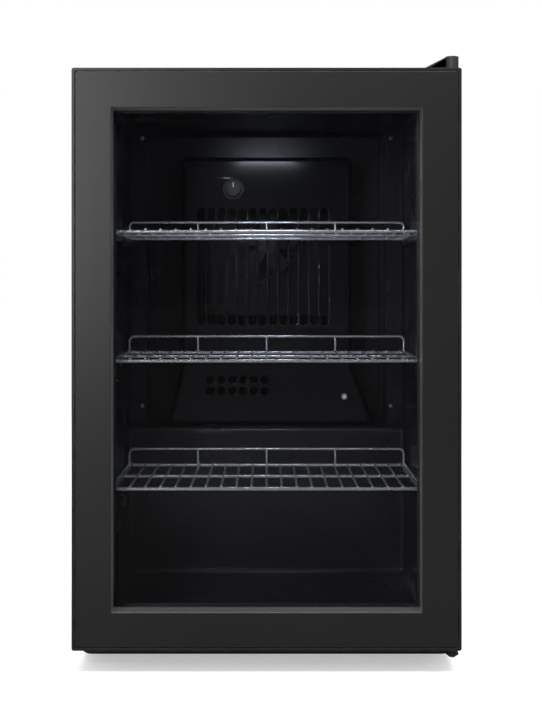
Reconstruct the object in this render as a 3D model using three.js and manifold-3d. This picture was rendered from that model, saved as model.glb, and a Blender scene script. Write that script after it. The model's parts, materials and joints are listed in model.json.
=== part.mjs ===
// A glass-door beverage cooler: one of the small refrigerators that stand under a counter.
// Millimetres. +X is to the right and -Y is towards the user. +Z is up. The origin is on the floor,
// under the centre of the overall box. Every piece is a separate solid; touching pieces keep GAP.

import * as THREE from 'three';
import { mergeVertices } from 'three/addons/utils/BufferGeometryUtils.js';
import Module from 'manifold-3d';

const wasm = await Module();
wasm.setup();

// ---------------------------------------------------------------- driving dimensions

const WIDTH = 530;
const HEIGHT = 845;
const DEPTH = 530;
const GAP = 0.3;
const OVERRUN = 1; // how far a cutting block runs past the face it opens

const FRONT = -DEPTH / 2;
const REAR = DEPTH / 2;

const DOOR = { half: WIDTH / 2, bottom: 33, top: 825, back: FRONT + 50, rim: 4, corner: 3, fascia: 2.7 };
const WINDOW = { half: 211.5, bottom: 84.5, top: 771.2, recess: 33, lip: 2.7, corner: 2 };
const GLASS = { overlap: 10, pane: 3.8, spacer: 5.4, retainer: 2.4, spacerWidth: 7 };
const GASKET = { half: 247, bottom: 40, top: 812, width: 14, thickness: 6.5 };

const CABINET = { half: 264, front: -206, back: 250, bottom: 30, top: 825, sheet: 1.5 };
const CAVITY = { half: 228, floor: 60, ceiling: 794, back: 190, wall: 2, flange: 10 };
const STEP = { front: 71, top: 300 }; // the step in the cavity, over the compressor
const BAY = { front: 111, top: 253, sheet: 1 }; // the compressor bay, open at the back
const LOUVRES = { rows: 9, first: 62, pitch: 18, columns: [-175, -25], half: 65, height: 6 };
const BASE = { bottom: 11, rail: 16, corner: 17, sheet: 1.5 };

const SHELVES = { upper_shelf: 605.5, middle_shelf: 423, lower_shelf: 242.4 };
const SHELF = { half: 222, front: -199, back: 34, rail: 2.5, wire: 1.6, pitch: 21.4, wires: 21, stop: 26 };
const LEDGE = { reach: 12, height: 10, front: -200, back: 46 };
const SPARE_LEDGE = { reach: 8, height: 20, drop: 36 }; // under each shelf, for one more level

const COVER = { half: 141, front: 100, top: 744, wall: 2 };
// Half widths at the flare's end and at the foot.
const COVER_FLARE = { start: 400, end: 334, left: [157, 165], right: [168, 176] };
const SLOTS = { bottom: 465, top: 659, width: 12.2, pitch: 17.1, first: -108.7, count: 13 };
const VENTS = { rows: [355.6, 374.6], first: -93.1, pitch: 18, count: 6, radius: 6.5 };
const PROBE = { x: 129, z: 347, radius: 5, length: 14 };
const REAR_PANEL = { half: 195, top: 789, raise: 3, corner: 9, foot: 21 };
const PILLAR = { inner: 200, front: 109, wall: 2, round: 8 };

const FAN = { z: 600, hubFront: 128, hubBack: 146, hub: 16, tip: 52, blades: 5, pitch: 28, shaft: 2.5 };
const FAN_MOTOR = { radius: 22, front: 149, back: 172 };
const FAN_BRACKET = { half: 62, tall: 15, sheet: 2.2, leg: 4 };
const KNOB = { x: -55, z: 690, radius: 18, reach: 14, shaft: 3 };
const ROCKER = { x: 223, y: -184, z: 752, length: 16 };
const LAMP = { half: 60, front: -196, back: -150, bottom: 783.5 };
const HINGE = { x: 255.5, y: -240, pin: 4, bush: 7, barrel: 9.1, bracketLeft: 232, upperPinFoot: 802 };
const HINGE_CAP = { left: 214.5, back: -160, peak: 246, nose: 844.2, wall: 1.5 };
const UPPER_PLATE = { left: 228, back: -168, low: 1.3, high: 4.3, nose: 7 }; // low and high above the door
const LOWER_PLATE = { bottom: 25, top: 28, foot: 13, sheet: 2.7, nose: 8.5 };
const COMPRESSOR = { x: -60, y: 180, radius: 62, bottom: 30, top: 178, plate: 92, mount: [82, 14] };
const CROSSMEMBER = { front: 128, back: 232, height: 4 }; // carries the compressor in the base pan
const COIL = { half: 112, fins: 19, gap: 8, front: 120, back: 178, bottom: 332, top: 480, core: 6 };
const DRAIN_PAN = { left: -150, right: 20, front: 125, back: 235, height: 24, wall: 2, clear: 8 };
const TROUGH = { half: 150, front: 106, back: 183, height: 16, wall: 2 };
const CONDENSER = { half: 205, bottom: 290, pitch: 45, passes: 12, y: 257, tube: 2.5, wires: 23 };
const DRAIN = { x: 0, y: 150, tube: 5, bore: 3.5, hole: 6, outlet: 222 };
const CORD_ENTRY = { x: 200, z: 60, radius: 9, bore: 4 };
const FEET = { x: 220, front: -140, rear: 205, pad: 17, stud: 4 };

// ---------------------------------------------------------------- solids

function solidOf(geometry) {
  geometry.deleteAttribute('normal');
  geometry.deleteAttribute('uv');
  const merged = mergeVertices(geometry, 1e-4);
  return new wasm.Manifold(new wasm.Mesh({
    numProp: 3,
    vertProperties: merged.attributes.position.array,
    triVerts: Uint32Array.from(merged.index.array),
  }));
}

function geometryOf(solid) {
  const { vertProperties, triVerts } = solid.getMesh();
  const geometry = new THREE.BufferGeometry();
  geometry.setAttribute('position', new THREE.BufferAttribute(vertProperties, 3));
  geometry.setIndex(new THREE.BufferAttribute(triVerts, 1));
  geometry.computeVertexNormals();
  return geometry;
}

function join(solids) {
  return solids.reduce((whole, solid) => whole.add(solid));
}

function cut(solid, tools) {
  return tools.reduce((rest, tool) => rest.subtract(tool), solid);
}

function box([x0, x1], [y0, y1], [z0, z1]) {
  const geometry = new THREE.BoxGeometry(x1 - x0, y1 - y0, z1 - z0);
  return solidOf(geometry.translate((x0 + x1) / 2, (y0 + y1) / 2, (z0 + z1) / 2));
}

// A shape drawn in X and Z, as seen from the front, from y0 back to y1.
function frontPlate(shape, y0, y1, curveSegments = 4) {
  const geometry = new THREE.ExtrudeGeometry(shape, { depth: y1 - y0, bevelEnabled: false, curveSegments });
  return solidOf(geometry.rotateX(Math.PI / 2).translate(0, y1, 0));
}

function outline(points) {
  return new THREE.Shape(points.map(([u, v]) => new THREE.Vector2(u, v)));
}

function roundedRect(u0, u1, v0, v1, radius) {
  const shape = new THREE.Shape();
  shape.absarc(u1 - radius, v0 + radius, radius, -Math.PI / 2, 0);
  shape.absarc(u1 - radius, v1 - radius, radius, 0, Math.PI / 2);
  shape.absarc(u0 + radius, v1 - radius, radius, Math.PI / 2, Math.PI);
  shape.absarc(u0 + radius, v0 + radius, radius, Math.PI, 1.5 * Math.PI);
  shape.closePath();
  return shape;
}

// A flat rectangular ring seen from the front, with the same rounding inside and outside.
function frontRing(outer, inner, y0, y1, radius) {
  const shape = roundedRect(-outer.half, outer.half, outer.bottom, outer.top, radius);
  shape.holes.push(roundedRect(-inner.half, inner.half, inner.bottom, inner.top, radius));
  return frontPlate(shape, y0, y1, 1);
}

function rod(radius, from, to, sides = 12) {
  const start = new THREE.Vector3(...from);
  const way = new THREE.Vector3(...to).sub(start);
  const geometry = new THREE.CylinderGeometry(radius, radius, way.length(), sides);
  const turn = new THREE.Quaternion().setFromUnitVectors(new THREE.Vector3(0, 1, 0), way.clone().normalize());
  geometry.applyQuaternion(turn);
  geometry.translate(start.x + way.x / 2, start.y + way.y / 2, start.z + way.z / 2);
  return solidOf(geometry);
}

// A turned piece standing on Z. The profile is [radius, height] pairs from the bottom to the top.
function turned(profile, x = 0, y = 0, sides = 20) {
  const points = profile.map(([radius, height]) => new THREE.Vector2(radius, height));
  return solidOf(new THREE.LatheGeometry(points, sides).rotateX(Math.PI / 2).translate(x, y, 0));
}

// A sleeve standing on Z, with a bore right through it.
function sleeve(outer, bore, z0, z1, x = 0, y = 0, sides = 20) {
  return rod(outer, [x, y, z0], [x, y, z1], sides)
    .subtract(rod(bore, [x, y, z0 - OVERRUN], [x, y, z1 + OVERRUN], sides));
}

function pipe(points, radius, steps) {
  const corners = points.map((point) => new THREE.Vector3(...point));
  const path = new THREE.CatmullRomCurve3(corners, false, 'centripetal');
  const section = new THREE.Shape().absarc(0, 0, radius, 0, 2 * Math.PI);
  const geometry = new THREE.ExtrudeGeometry(section, { steps, extrudePath: path, curveSegments: 4 });
  return solidOf(geometry);
}

function grown({ half, bottom, top }, by) {
  return { half: half + by, bottom: bottom - by, top: top + by };
}

function mirrored(solid) {
  return solid.mirror([1, 0, 0]);
}

// ---------------------------------------------------------------- scene graph

const cooler = new THREE.Group();

function newGroup(parent = cooler) {
  const group = new THREE.Group();
  parent.add(group);
  return group;
}

function addPart(group, name, solid, [color, roughness, metalness], place = [0, 0, 0]) {
  const material = new THREE.MeshStandardMaterial({ color, roughness, metalness });
  if (name.endsWith('_glass')) {
    material.transparent = true;
    material.opacity = 0.25;
  }
  const mesh = new THREE.Mesh(geometryOf(solid), material);
  mesh.name = name;
  mesh.position.set(...place);
  group.add(mesh);
  return mesh;
}

const BLACK_PAINT = [0x26262a, 0.45, 0.3];
const GREY_SATIN = [0x7c7c80, 0.4, 0.2];
const DARK_LINER = [0x17171c, 0.5, 0];
const BLACK_PLASTIC = [0x1b1b1d, 0.55, 0];
const CHROME_WIRE = [0xd8d8dc, 0.2, 1];
const ZINC_STEEL = [0x9a9ca0, 0.4, 0.9];
const COPPER = [0xb06a3c, 0.35, 1];
const ALUMINIUM = [0xc0c2c6, 0.4, 1];
const RUBBER = [0x101010, 0.9, 0];
const FOAM = [0xd9c27a, 0.95, 0];
const WHITE_PLASTIC = [0xe8e8ea, 0.5, 0];
const CLEAR_GLASS = [0xdfe8e6, 0.05, 0];
const PALE_BOARD = [0xdcdfe2, 0.6, 0];

// ---------------------------------------------------------------- cabinet

function cavityBlock(grow, front) {
  const sides = [-(CAVITY.half + grow), CAVITY.half + grow];
  const upper = box(sides, [front, CAVITY.back + grow], [STEP.top - grow, CAVITY.ceiling + grow]);
  const lower = box(sides, [front, STEP.front + grow], [CAVITY.floor - grow, STEP.top + OVERRUN]);
  return upper.add(lower);
}

function outerShell() {
  const { half, front, back, bottom, top, sheet } = CABINET;
  const block = box([-half, half], [front, back], [bottom, top]);
  const inside = box([sheet - half, half - sheet], [front + sheet, back + OVERRUN],
    [bottom - OVERRUN, top - sheet]);
  const clear = CAVITY.wall + GAP;
  const mouth = box([-(CAVITY.half + clear), CAVITY.half + clear], [front - OVERRUN, front + 2 * sheet],
    [CAVITY.floor - clear, CAVITY.ceiling + clear]);
  return cut(block, [inside, mouth]);
}

function innerLiner() {
  const flangeFront = CABINET.front - GAP - CABINET.sheet;
  const edge = CAVITY.wall + CAVITY.flange;
  const flange = box([-(CAVITY.half + edge), CAVITY.half + edge], [flangeFront, flangeFront + CABINET.sheet],
    [CAVITY.floor - edge, CAVITY.ceiling + edge]);
  const skin = cavityBlock(CAVITY.wall, flangeFront).add(flange);
  const drain = rod(DRAIN.hole, [DRAIN.x, DRAIN.y, STEP.top - 5], [DRAIN.x, DRAIN.y, STEP.top + 5]);
  const ledges = Object.values(SHELVES).flatMap((level) => {
    const top = level - SHELF.rail - GAP;
    return [...ledgePair(top, LEDGE), ...ledgePair(level - SPARE_LEDGE.drop, SPARE_LEDGE)];
  });
  const panelShape = roundedRect(-REAR_PANEL.half, REAR_PANEL.half, STEP.top - REAR_PANEL.foot,
    REAR_PANEL.top, REAR_PANEL.corner);
  const panel = frontPlate(panelShape, CAVITY.back - REAR_PANEL.raise, CAVITY.back + OVERRUN)
    .intersect(cavityBlock(OVERRUN, 0));
  return cut(skin, [cavityBlock(0, flangeFront - OVERRUN)]).add(join(ledges)).add(panel).subtract(drain);
}

function ledgePair(top, { reach, height }) {
  const across = [CAVITY.half - reach, CAVITY.half + OVERRUN];
  const ledge = box(across, [LEDGE.front, LEDGE.back], [top - height, top]);
  return [ledge, mirrored(ledge)];
}

function insulationFoam() {
  const side = CABINET.half - CABINET.sheet - GAP;
  const block = box([-side, side], [CABINET.front + CABINET.sheet + GAP, CABINET.back - CABINET.sheet - GAP],
    [CABINET.bottom, CABINET.top - CABINET.sheet - GAP]);
  const cavity = cavityBlock(CAVITY.wall + GAP, CABINET.front - OVERRUN);
  const bay = box([-side - OVERRUN, side + OVERRUN], [BAY.front - BAY.sheet - GAP, CABINET.back + OVERRUN],
    [CABINET.bottom - OVERRUN, BAY.top + BAY.sheet + GAP]);
  const drain = rod(DRAIN.hole, [DRAIN.x, DRAIN.y, BAY.top], [DRAIN.x, DRAIN.y, STEP.top]);
  return cut(block, [cavity, bay, drain]);
}

// The bent sheet that faces the foam inside the compressor bay.
function bayLining() {
  const side = CABINET.half - CABINET.sheet - GAP;
  const wall = box([-side, side], [BAY.front - BAY.sheet, BAY.front], [CABINET.bottom, BAY.top + BAY.sheet]);
  const roof = box([-side, side], [BAY.front - BAY.sheet, CABINET.back], [BAY.top, BAY.top + BAY.sheet]);
  const drain = rod(DRAIN.hole, [DRAIN.x, DRAIN.y, BAY.top - 5], [DRAIN.x, DRAIN.y, BAY.top + 5]);
  return wall.add(roof).subtract(drain);
}

function backPanel() {
  const side = CABINET.half - CABINET.sheet - GAP;
  return box([-side, side], [CABINET.back - CABINET.sheet, CABINET.back],
    [BAY.top + BAY.sheet + GAP, CABINET.top - CABINET.sheet - GAP]);
}

function baseRail() {
  const { half, front } = CABINET;
  const top = CABINET.bottom - GAP;
  const shape = new THREE.Shape();
  shape.moveTo(half, top);
  shape.lineTo(-half, top);
  shape.absarc(BASE.corner - half, BASE.bottom + BASE.corner, BASE.corner, Math.PI, 1.5 * Math.PI);
  shape.absarc(half - BASE.corner, BASE.bottom + BASE.corner, BASE.corner, 1.5 * Math.PI, 2 * Math.PI);
  const bar = frontPlate(shape, front, front + BASE.rail, 6);
  const channel = box([BASE.corner - half, half - BASE.corner], [front + 3, front + BASE.rail + OVERRUN],
    [BASE.bottom + 3, top - 2]);
  return bar.subtract(channel);
}

function basePan() {
  const side = CABINET.half - CABINET.sheet - GAP;
  const front = CABINET.front + BASE.rail + GAP;
  const top = CABINET.bottom - GAP;
  const block = box([-side, side], [front, CABINET.back], [BASE.bottom, top]);
  const inside = box([BASE.sheet - side, side - BASE.sheet], [front + BASE.sheet, CABINET.back + OVERRUN],
    [BASE.bottom + BASE.sheet, top + OVERRUN]);
  const crossmember = box([-side + OVERRUN, side - OVERRUN], [CROSSMEMBER.front, CROSSMEMBER.back],
    [BASE.bottom, BASE.bottom + CROSSMEMBER.height]);
  const studs = [-FEET.x, FEET.x].map((x) => rod(FEET.stud + 0.4, [x, FEET.front, 0], [x, FEET.front, 20]));
  return cut(block.subtract(inside).add(crossmember), studs);
}

function cornerPillar() {
  const side = CAVITY.half - GAP;
  const back = CAVITY.back - GAP;
  const top = CAVITY.ceiling - GAP;
  const { inner, round } = PILLAR;
  const shape = outline([[inner, STEP.top + GAP], [side, STEP.top + GAP], [side, top]]);
  shape.lineTo(inner - round, top);
  shape.absarc(inner - round, top - round, round, Math.PI / 2, 0, true);
  const inside = box([inner + PILLAR.wall, side - PILLAR.wall],
    [PILLAR.front + PILLAR.wall, back + OVERRUN], [STEP.top + 4, top - round]);
  return frontPlate(shape, PILLAR.front, back).subtract(inside);
}

function bayCover() {
  const side = CABINET.half - CABINET.sheet - GAP;
  const top = BAY.top - GAP;
  const y = [CABINET.back - CABINET.sheet, CABINET.back];
  const through = [y[0] - OVERRUN, y[1] + OVERRUN];
  const louvres = [...Array(LOUVRES.rows).keys()].flatMap((row) => {
    const low = LOUVRES.first + LOUVRES.pitch * row - LOUVRES.height / 2;
    return LOUVRES.columns.map((middle) => box([middle - LOUVRES.half, middle + LOUVRES.half], through,
      [low, low + LOUVRES.height]));
  });
  const notch = box([-238, -205], through, [top - 20, top + OVERRUN]); // for the discharge pipe
  const { x, z, radius } = CORD_ENTRY;
  const entry = rod(radius + GAP, [x, through[0], z], [x, through[1], z], 20);
  return cut(box([-side, side], y, [CABINET.bottom, top]), [...louvres, notch, entry]);
}

// A flanged rubber bush in the bay cover, standing 3 mm proud of it.
function cordBush() {
  const { x, z, radius, bore } = CORD_ENTRY;
  const proud = 3;
  const bush = sleeve(radius, bore, 0, 5).add(sleeve(radius + 4, bore, proud + GAP, 2 * proud));
  return bush.rotate([-90, 0, 0]).translate([x, CABINET.back - proud, z]);
}

const cabinet = newGroup();
addPart(cabinet, 'outer_shell', outerShell(), BLACK_PAINT);
addPart(cabinet, 'back_panel', backPanel(), BLACK_PAINT);
addPart(cabinet, 'base_rail', baseRail(), BLACK_PAINT);
addPart(cabinet, 'base_pan', basePan(), ZINC_STEEL);
addPart(cabinet, 'insulation_foam', insulationFoam(), FOAM);
addPart(cabinet, 'inner_liner', innerLiner(), DARK_LINER);
addPart(cabinet, 'bay_lining', bayLining(), ZINC_STEEL);
addPart(cabinet, 'bay_cover', bayCover(), BLACK_PLASTIC);
addPart(cabinet, 'cord_entry_bush', cordBush(), RUBBER);
addPart(cabinet, 'right_corner_pillar', cornerPillar(), DARK_LINER);
addPart(cabinet, 'left_corner_pillar', mirrored(cornerPillar()), DARK_LINER);

// ---------------------------------------------------------------- cooling behind the rear cover

function coverShape(inset) {
  const { half, top } = COVER;
  const { start, end, left, right } = COVER_FLARE;
  const edge = (side, [flare, foot]) => [[foot - inset, STEP.top + GAP + inset], [flare - inset, end],
    [half - inset, start], [half - inset, top - inset]].map(([x, z]) => [side * x, z]);
  return outline([...edge(1, right), ...edge(-1, left).reverse()]);
}

function evaporatorCover() {
  const back = CAVITY.back - REAR_PANEL.raise - GAP;
  const { front } = COVER;
  const tray = frontPlate(coverShape(0), front, back)
    .subtract(frontPlate(coverShape(COVER.wall), front + COVER.wall, back + OVERRUN));
  const drain = rod(DRAIN.hole, [DRAIN.x, DRAIN.y, STEP.top], [DRAIN.x, DRAIN.y, STEP.top + 5]);
  const { x, z, shaft } = KNOB;
  const tools = [drain, rod(shaft + GAP, [x, front - OVERRUN, z], [x, front + 5, z])];
  for (let i = 0; i < SLOTS.count; i += 1) {
    const x = SLOTS.first + i * SLOTS.pitch;
    const reach = SLOTS.width / 2;
    const slot = roundedRect(x - reach, x + reach, SLOTS.bottom, SLOTS.top, reach);
    tools.push(frontPlate(slot, front - OVERRUN, front + 5, 1));
  }
  for (const z of VENTS.rows) {
    for (let i = 0; i < VENTS.count; i += 1) {
      const x = VENTS.first + i * VENTS.pitch;
      tools.push(rod(VENTS.radius, [x, front - OVERRUN, z], [x, front + 5, z], 10));
    }
  }
  return cut(tray, tools);
}

// Upright aluminium fins on a core block that stands for the tube runs between them.
function evaporatorCoil() {
  const { half, fins, gap, front, back, bottom, top, core } = COIL;
  const pitch = (2 * half) / fins;
  const gaps = [...Array(fins - 1).keys()].map((i) => {
    const x = -half + (i + 1) * pitch;
    return box([x - gap / 2, x + gap / 2], [front - OVERRUN, back - core], [bottom - OVERRUN, top + OVERRUN]);
  });
  return cut(box([-half, half], [front, back], [bottom, top]), gaps);
}

function drainTrough() {
  const { half, front, back, height, wall } = TROUGH;
  const floor = STEP.top + COVER.wall + 2 * GAP;
  const tray = box([-half, half], [front, back], [floor, floor + height]);
  const inside = box([wall - half, half - wall], [front + wall, back - wall],
    [floor + wall, floor + height + OVERRUN]);
  const drain = rod(DRAIN.bore, [DRAIN.x, DRAIN.y, floor - 5], [DRAIN.x, DRAIN.y, floor + 5]);
  return tray.subtract(inside).subtract(drain);
}

function drainTube() {
  const top = STEP.top + COVER.wall + GAP;
  return sleeve(DRAIN.tube, DRAIN.bore, DRAIN.outlet, top, DRAIN.x, DRAIN.y, 12);
}

function fanMotor() {
  const { radius, front, back } = FAN_MOTOR;
  const can = rod(radius, [0, front, FAN.z], [0, back, FAN.z], 20);
  const shaft = rod(FAN.shaft, [0, FAN.hubFront + 6, FAN.z], [0, front + 10, FAN.z], 10);
  return can.add(shaft);
}

function fanBracket() {
  const back = CAVITY.back - REAR_PANEL.raise - GAP;
  const { half, tall, sheet, leg: legWidth } = FAN_BRACKET;
  const front = FAN_MOTOR.back + GAP;
  const z = [FAN.z - tall, FAN.z + tall];
  const plate = box([-half, half], [front, front + sheet], z);
  const leg = box([half - legWidth, half], [front, back], z);
  return join([plate, leg, mirrored(leg)]);
}

function evaporatorFan() {
  const blades = [...Array(FAN.blades).keys()].map((i) => fanBlade((i * 360) / FAN.blades));
  const hub = rod(FAN.hub, [0, FAN.hubFront, 0], [0, FAN.hubBack, 0], 20);
  const bore = rod(FAN.shaft + GAP, [0, FAN.hubFront + 5, 0], [0, FAN.hubBack + OVERRUN, 0], 10);
  return join([hub, ...blades]).subtract(bore);
}

function fanBlade(degrees) {
  const shape = new THREE.Shape();
  shape.moveTo(-9, FAN.hub - 3);
  shape.lineTo(9, FAN.hub - 3);
  shape.quadraticCurveTo(24, FAN.tip * 0.6, 16, FAN.tip - 3);
  shape.quadraticCurveTo(0, FAN.tip + 2, -14, FAN.tip - 5);
  shape.closePath();
  const middle = (FAN.hubFront + FAN.hubBack) / 2;
  const flat = frontPlate(shape, -0.9, 0.9, 5).rotate([0, 0, FAN.pitch]);
  return flat.translate([0, middle, 0]).rotate([0, degrees, 0]);
}

function temperatureProbe() {
  const { x, z, radius, length } = PROBE;
  const profile = [[0, 0], [radius / 2, 0], [radius, radius], [radius, length], [0, length]];
  return turned(profile, 0, 0, 12).rotate([-90, 0, 0]).translate([x, COVER.front - GAP - length, z]);
}

const cooling = newGroup();
addPart(cooling, 'evaporator_cover', evaporatorCover(), DARK_LINER);
addPart(cooling, 'evaporator_coil', evaporatorCoil(), ALUMINIUM);
addPart(cooling, 'drain_trough', drainTrough(), BLACK_PLASTIC);
addPart(cooling, 'drain_tube', drainTube(), WHITE_PLASTIC);
addPart(cooling, 'fan_motor', fanMotor(), BLACK_PLASTIC);
addPart(cooling, 'fan_bracket', fanBracket(), BLACK_PAINT);
addPart(cooling, 'evaporator_fan', evaporatorFan(), BLACK_PLASTIC, [0, 0, FAN.z]);
addPart(cooling, 'temperature_probe', temperatureProbe(), WHITE_PLASTIC);

// ---------------------------------------------------------------- compressor bay and condenser

function compressor() {
  const { x, y, radius, bottom, top } = COMPRESSOR;
  const pot = turned([[0, bottom], [radius - 12, bottom + 3], [radius, bottom + 14], [radius, top - 40],
    [radius - 5, top - 14], [radius - 24, top - 2], [0, top]], x, y, 28);
  const { plate: half } = COMPRESSOR;
  const plate = box([x - half, x + half], [y - 22, y + 22], [bottom - 3.7, bottom + 5]);
  const bores = grommetPlaces().map(([gx, gy]) => rod(4, [gx, gy, 20], [gx, gy, 40], 8));
  return cut(pot.add(plate), bores);
}

function grommetPlaces() {
  const { x, y, mount: [across, along] } = COMPRESSOR;
  const corners = [[-across, -along], [-across, along], [across, -along], [across, along]];
  return corners.map(([u, v]) => [x + u, y + v]);
}

function startRelay() {
  const side = COMPRESSOR.x + COMPRESSOR.radius;
  return box([side + 1, side + 30], [162, 200], [82, 132]);
}

function drainPan() {
  const { left, right, front, back, height, wall, clear } = DRAIN_PAN;
  const floor = COMPRESSOR.top + clear;
  const tray = box([left, right], [front, back], [floor, floor + height]);
  return tray.subtract(box([left + wall, right - wall], [front + wall, back - wall],
    [floor + wall, floor + height + OVERRUN]));
}

// One flat serpentine of square tube with rounded ends, and the pipe that feeds it.
function condenserTube() {
  const { half, bottom, pitch, passes, y, tube } = CONDENSER;
  const runs = [...Array(passes).keys()].map((pass) => {
    const z = bottom + pass * pitch;
    return box([-half, half], [y - tube, y + tube], [z - tube, z + tube]);
  });
  const bends = [...Array(passes - 1).keys()].map((bend) => {
    const shape = new THREE.Shape();
    const side = bend % 2 === 0 ? 1 : -1;
    const z = bottom + (bend + 0.5) * pitch;
    const quarter = (side * Math.PI) / 2;
    shape.absarc(side * half, z, pitch / 2 + tube, -quarter, quarter, false);
    shape.absarc(side * half, z, pitch / 2 - tube, quarter, -quarter, true);
    return frontPlate(shape, y - tube, y + tube, 3);
  });
  return join([...runs, ...bends, dischargePipe()]);
}

function dischargePipe() {
  const { half, bottom, y } = CONDENSER;
  const from = COMPRESSOR.x - COMPRESSOR.radius;
  return pipe([[from - 1, 190, 120], [from - 30, 195, 122], [from - 60, 215, 170], [-222, 235, 225],
    [-224, 252, 247], [-224, y, 265], [-half - 12, y, bottom - 3], [-half + 5, y, bottom]], 2.2, 28);
}

// Upright wires outside the tube, on two straps whose ends hook to the back and stand off the wall.
function condenserWires() {
  const { half, bottom, pitch, passes, y, tube, wires } = CONDENSER;
  const front = y + tube + GAP;
  const low = bottom - 14;
  const high = bottom + (passes - 1) * pitch + 14;
  const uprights = [...Array(wires).keys()].map((i) => {
    const x = -half + 8 + (i * (2 * half - 16)) / (wires - 1);
    return box([x - 0.8, x + 0.8], [front, front + 1.6], [low, high]);
  });
  const straps = [low + 4, high - 4].flatMap((z) => {
    const strap = box([-248, 248], [front, front + 2.4], [z - 5, z + 5]);
    const foot = box([240, 248], [CABINET.back + GAP, REAR], [z - 5, z + 5]);
    return [strap, foot, mirrored(foot)];
  });
  return join([...uprights, ...straps]);
}

function suctionPipe() {
  const y = COMPRESSOR.y;
  return pipe([[40, 128, BAY.top - GAP], [40, 128, 200], [38, 140, 150], [30, 160, 70], [8, y - 10, 58],
    [COMPRESSOR.x + COMPRESSOR.radius + 3, y, 56]], 3, 24);
}

function filterDrier() {
  return turned([[0, 60], [4, 62], [11, 74], [11, 150], [4, 164], [0, 166]], 110, 215, 16);
}

const machinery = newGroup();
addPart(machinery, 'compressor', compressor(), BLACK_PAINT);
grommetPlaces().forEach(([x, y], i) => {
  addPart(machinery, `compressor_grommet_${i + 1}`, sleeve(8, 4, 0, 11, 0, 0, 12), RUBBER, [x, y, 15 + GAP]);
});
addPart(machinery, 'start_relay', startRelay(), BLACK_PLASTIC);
addPart(machinery, 'drain_pan', drainPan(), BLACK_PLASTIC);
addPart(machinery, 'condenser_tube', condenserTube(), BLACK_PAINT);
addPart(machinery, 'condenser_wires', condenserWires(), BLACK_PAINT);
addPart(machinery, 'suction_pipe', suctionPipe(), COPPER);
addPart(machinery, 'filter_drier', filterDrier(), COPPER);

// ---------------------------------------------------------------- lamp, thermostat and light switch

function lampHousing() {
  const { half, front, back, bottom } = LAMP;
  const block = box([-half, half], [front, back], [bottom, CAVITY.ceiling - GAP]);
  const inside = box([2 - half, half - 2], [front + 2, back - 2], [bottom - OVERRUN, CAVITY.ceiling - 2.3]);
  return block.subtract(inside);
}

function lampInset(inset, bottom, top) {
  return box([inset - LAMP.half, LAMP.half - inset], [LAMP.front + inset, LAMP.back - inset], [bottom, top]);
}

function thermostatKnob() {
  const { x, z, radius, reach, shaft } = KNOB;
  const face = COVER.front - GAP;
  const skirt = rod(radius, [x, face - 4, z], [x, face, z], 28);
  const grip = rod(radius - 5, [x, face - reach, z], [x, face, z], 20);
  const pointer = box([x - 2, x + 2], [face - reach, face], [z, z + radius - 2]);
  const spindle = rod(shaft, [x, face, z], [x, face + 8, z], 12);
  return join([skirt, grip, pointer, spindle]);
}

function thermostatBody() {
  const { x, z, shaft } = KNOB;
  const back = COVER.front + COVER.wall + GAP;
  const body = box([x - 16, x + 16], [back, back + 26], [z - 16, z + 16]);
  return body.subtract(rod(shaft + GAP, [x, back - OVERRUN, z], [x, back + 12, z]));
}

function rockerHousing() {
  const side = CAVITY.half - GAP;
  const { y, z, length } = ROCKER;
  const block = box([219, side], [y - 12, y + 12], [z - 14, z + 14]);
  const well = box([218, 226.4], [y - length / 2 - GAP, y + length / 2 + GAP], [z - 11, z + 11]);
  return block.subtract(well);
}

function lightRocker() {
  const { x, y, z, length } = ROCKER;
  const shape = outline([[x - 7, z - 8.5], [x - 0.5, z - 7.5], [x + 2.5, z], [x - 0.5, z + 7.5],
    [x - 7, z + 8.5], [x - 5.5, z]]);
  return frontPlate(shape, y - length / 2, y + length / 2);
}

const controls = newGroup();
addPart(controls, 'lamp_housing', lampHousing(), DARK_LINER);
addPart(controls, 'led_board', lampInset(8, 789.4, 791), PALE_BOARD);
addPart(controls, 'lamp_lens', lampInset(2 + GAP, LAMP.bottom - 1.5, LAMP.bottom + 1), WHITE_PLASTIC);
addPart(controls, 'thermostat_body', thermostatBody(), WHITE_PLASTIC);
addPart(controls, 'thermostat_knob', thermostatKnob(), BLACK_PLASTIC);
addPart(controls, 'light_switch_housing', rockerHousing(), BLACK_PLASTIC);
addPart(controls, 'light_switch_rocker', lightRocker(), BLACK_PLASTIC);

// ---------------------------------------------------------------- shelves

// Front-to-back wires on three cross rails, with a side rail at each end and a raised rail at the back.
function wireShelf() {
  const { half, front, back, rail, wire, pitch, wires, stop } = SHELF;
  const lift = rail + wire - 1;
  const crossRails = [front, (front + back) / 2, back].map((y) => rod(rail, [-half, y, 0], [half, y, 0], 6));
  const sideRails = [-half, half].map((x) => rod(rail, [x, front, 0], [x, back, 0], 6));
  const corners = [-half, half].flatMap((x) =>
    [front, back].map((y) => rod(rail, [x, y, -rail], [x, y, rail], 8)));
  const reach = (pitch * (wires - 1)) / 2;
  const grille = [...Array(wires).keys()].map((i) => {
    const x = -reach + i * pitch;
    return rod(wire, [x, front - rail, lift], [x, back, lift], 4);
  });
  const posts = [...Array(5).keys()].map((i) => {
    const x = (-half + 2) + (i * (2 * half - 4)) / 4;
    return rod(wire, [x, back, 0], [x, back, stop], 4);
  });
  const stopRail = rod(rail - 0.5, [2 - half - wire, back, stop], [half - 2 + wire, back, stop], 6);
  return join([...crossRails, ...sideRails, ...corners, ...grille, ...posts, stopRail]);
}

const shelfSolid = wireShelf();
for (const [name, level] of Object.entries(SHELVES)) {
  addPart(cooler, name, shelfSolid, CHROME_WIRE, [0, 0, level]);
}

// ---------------------------------------------------------------- door

const door = newGroup();

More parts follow.
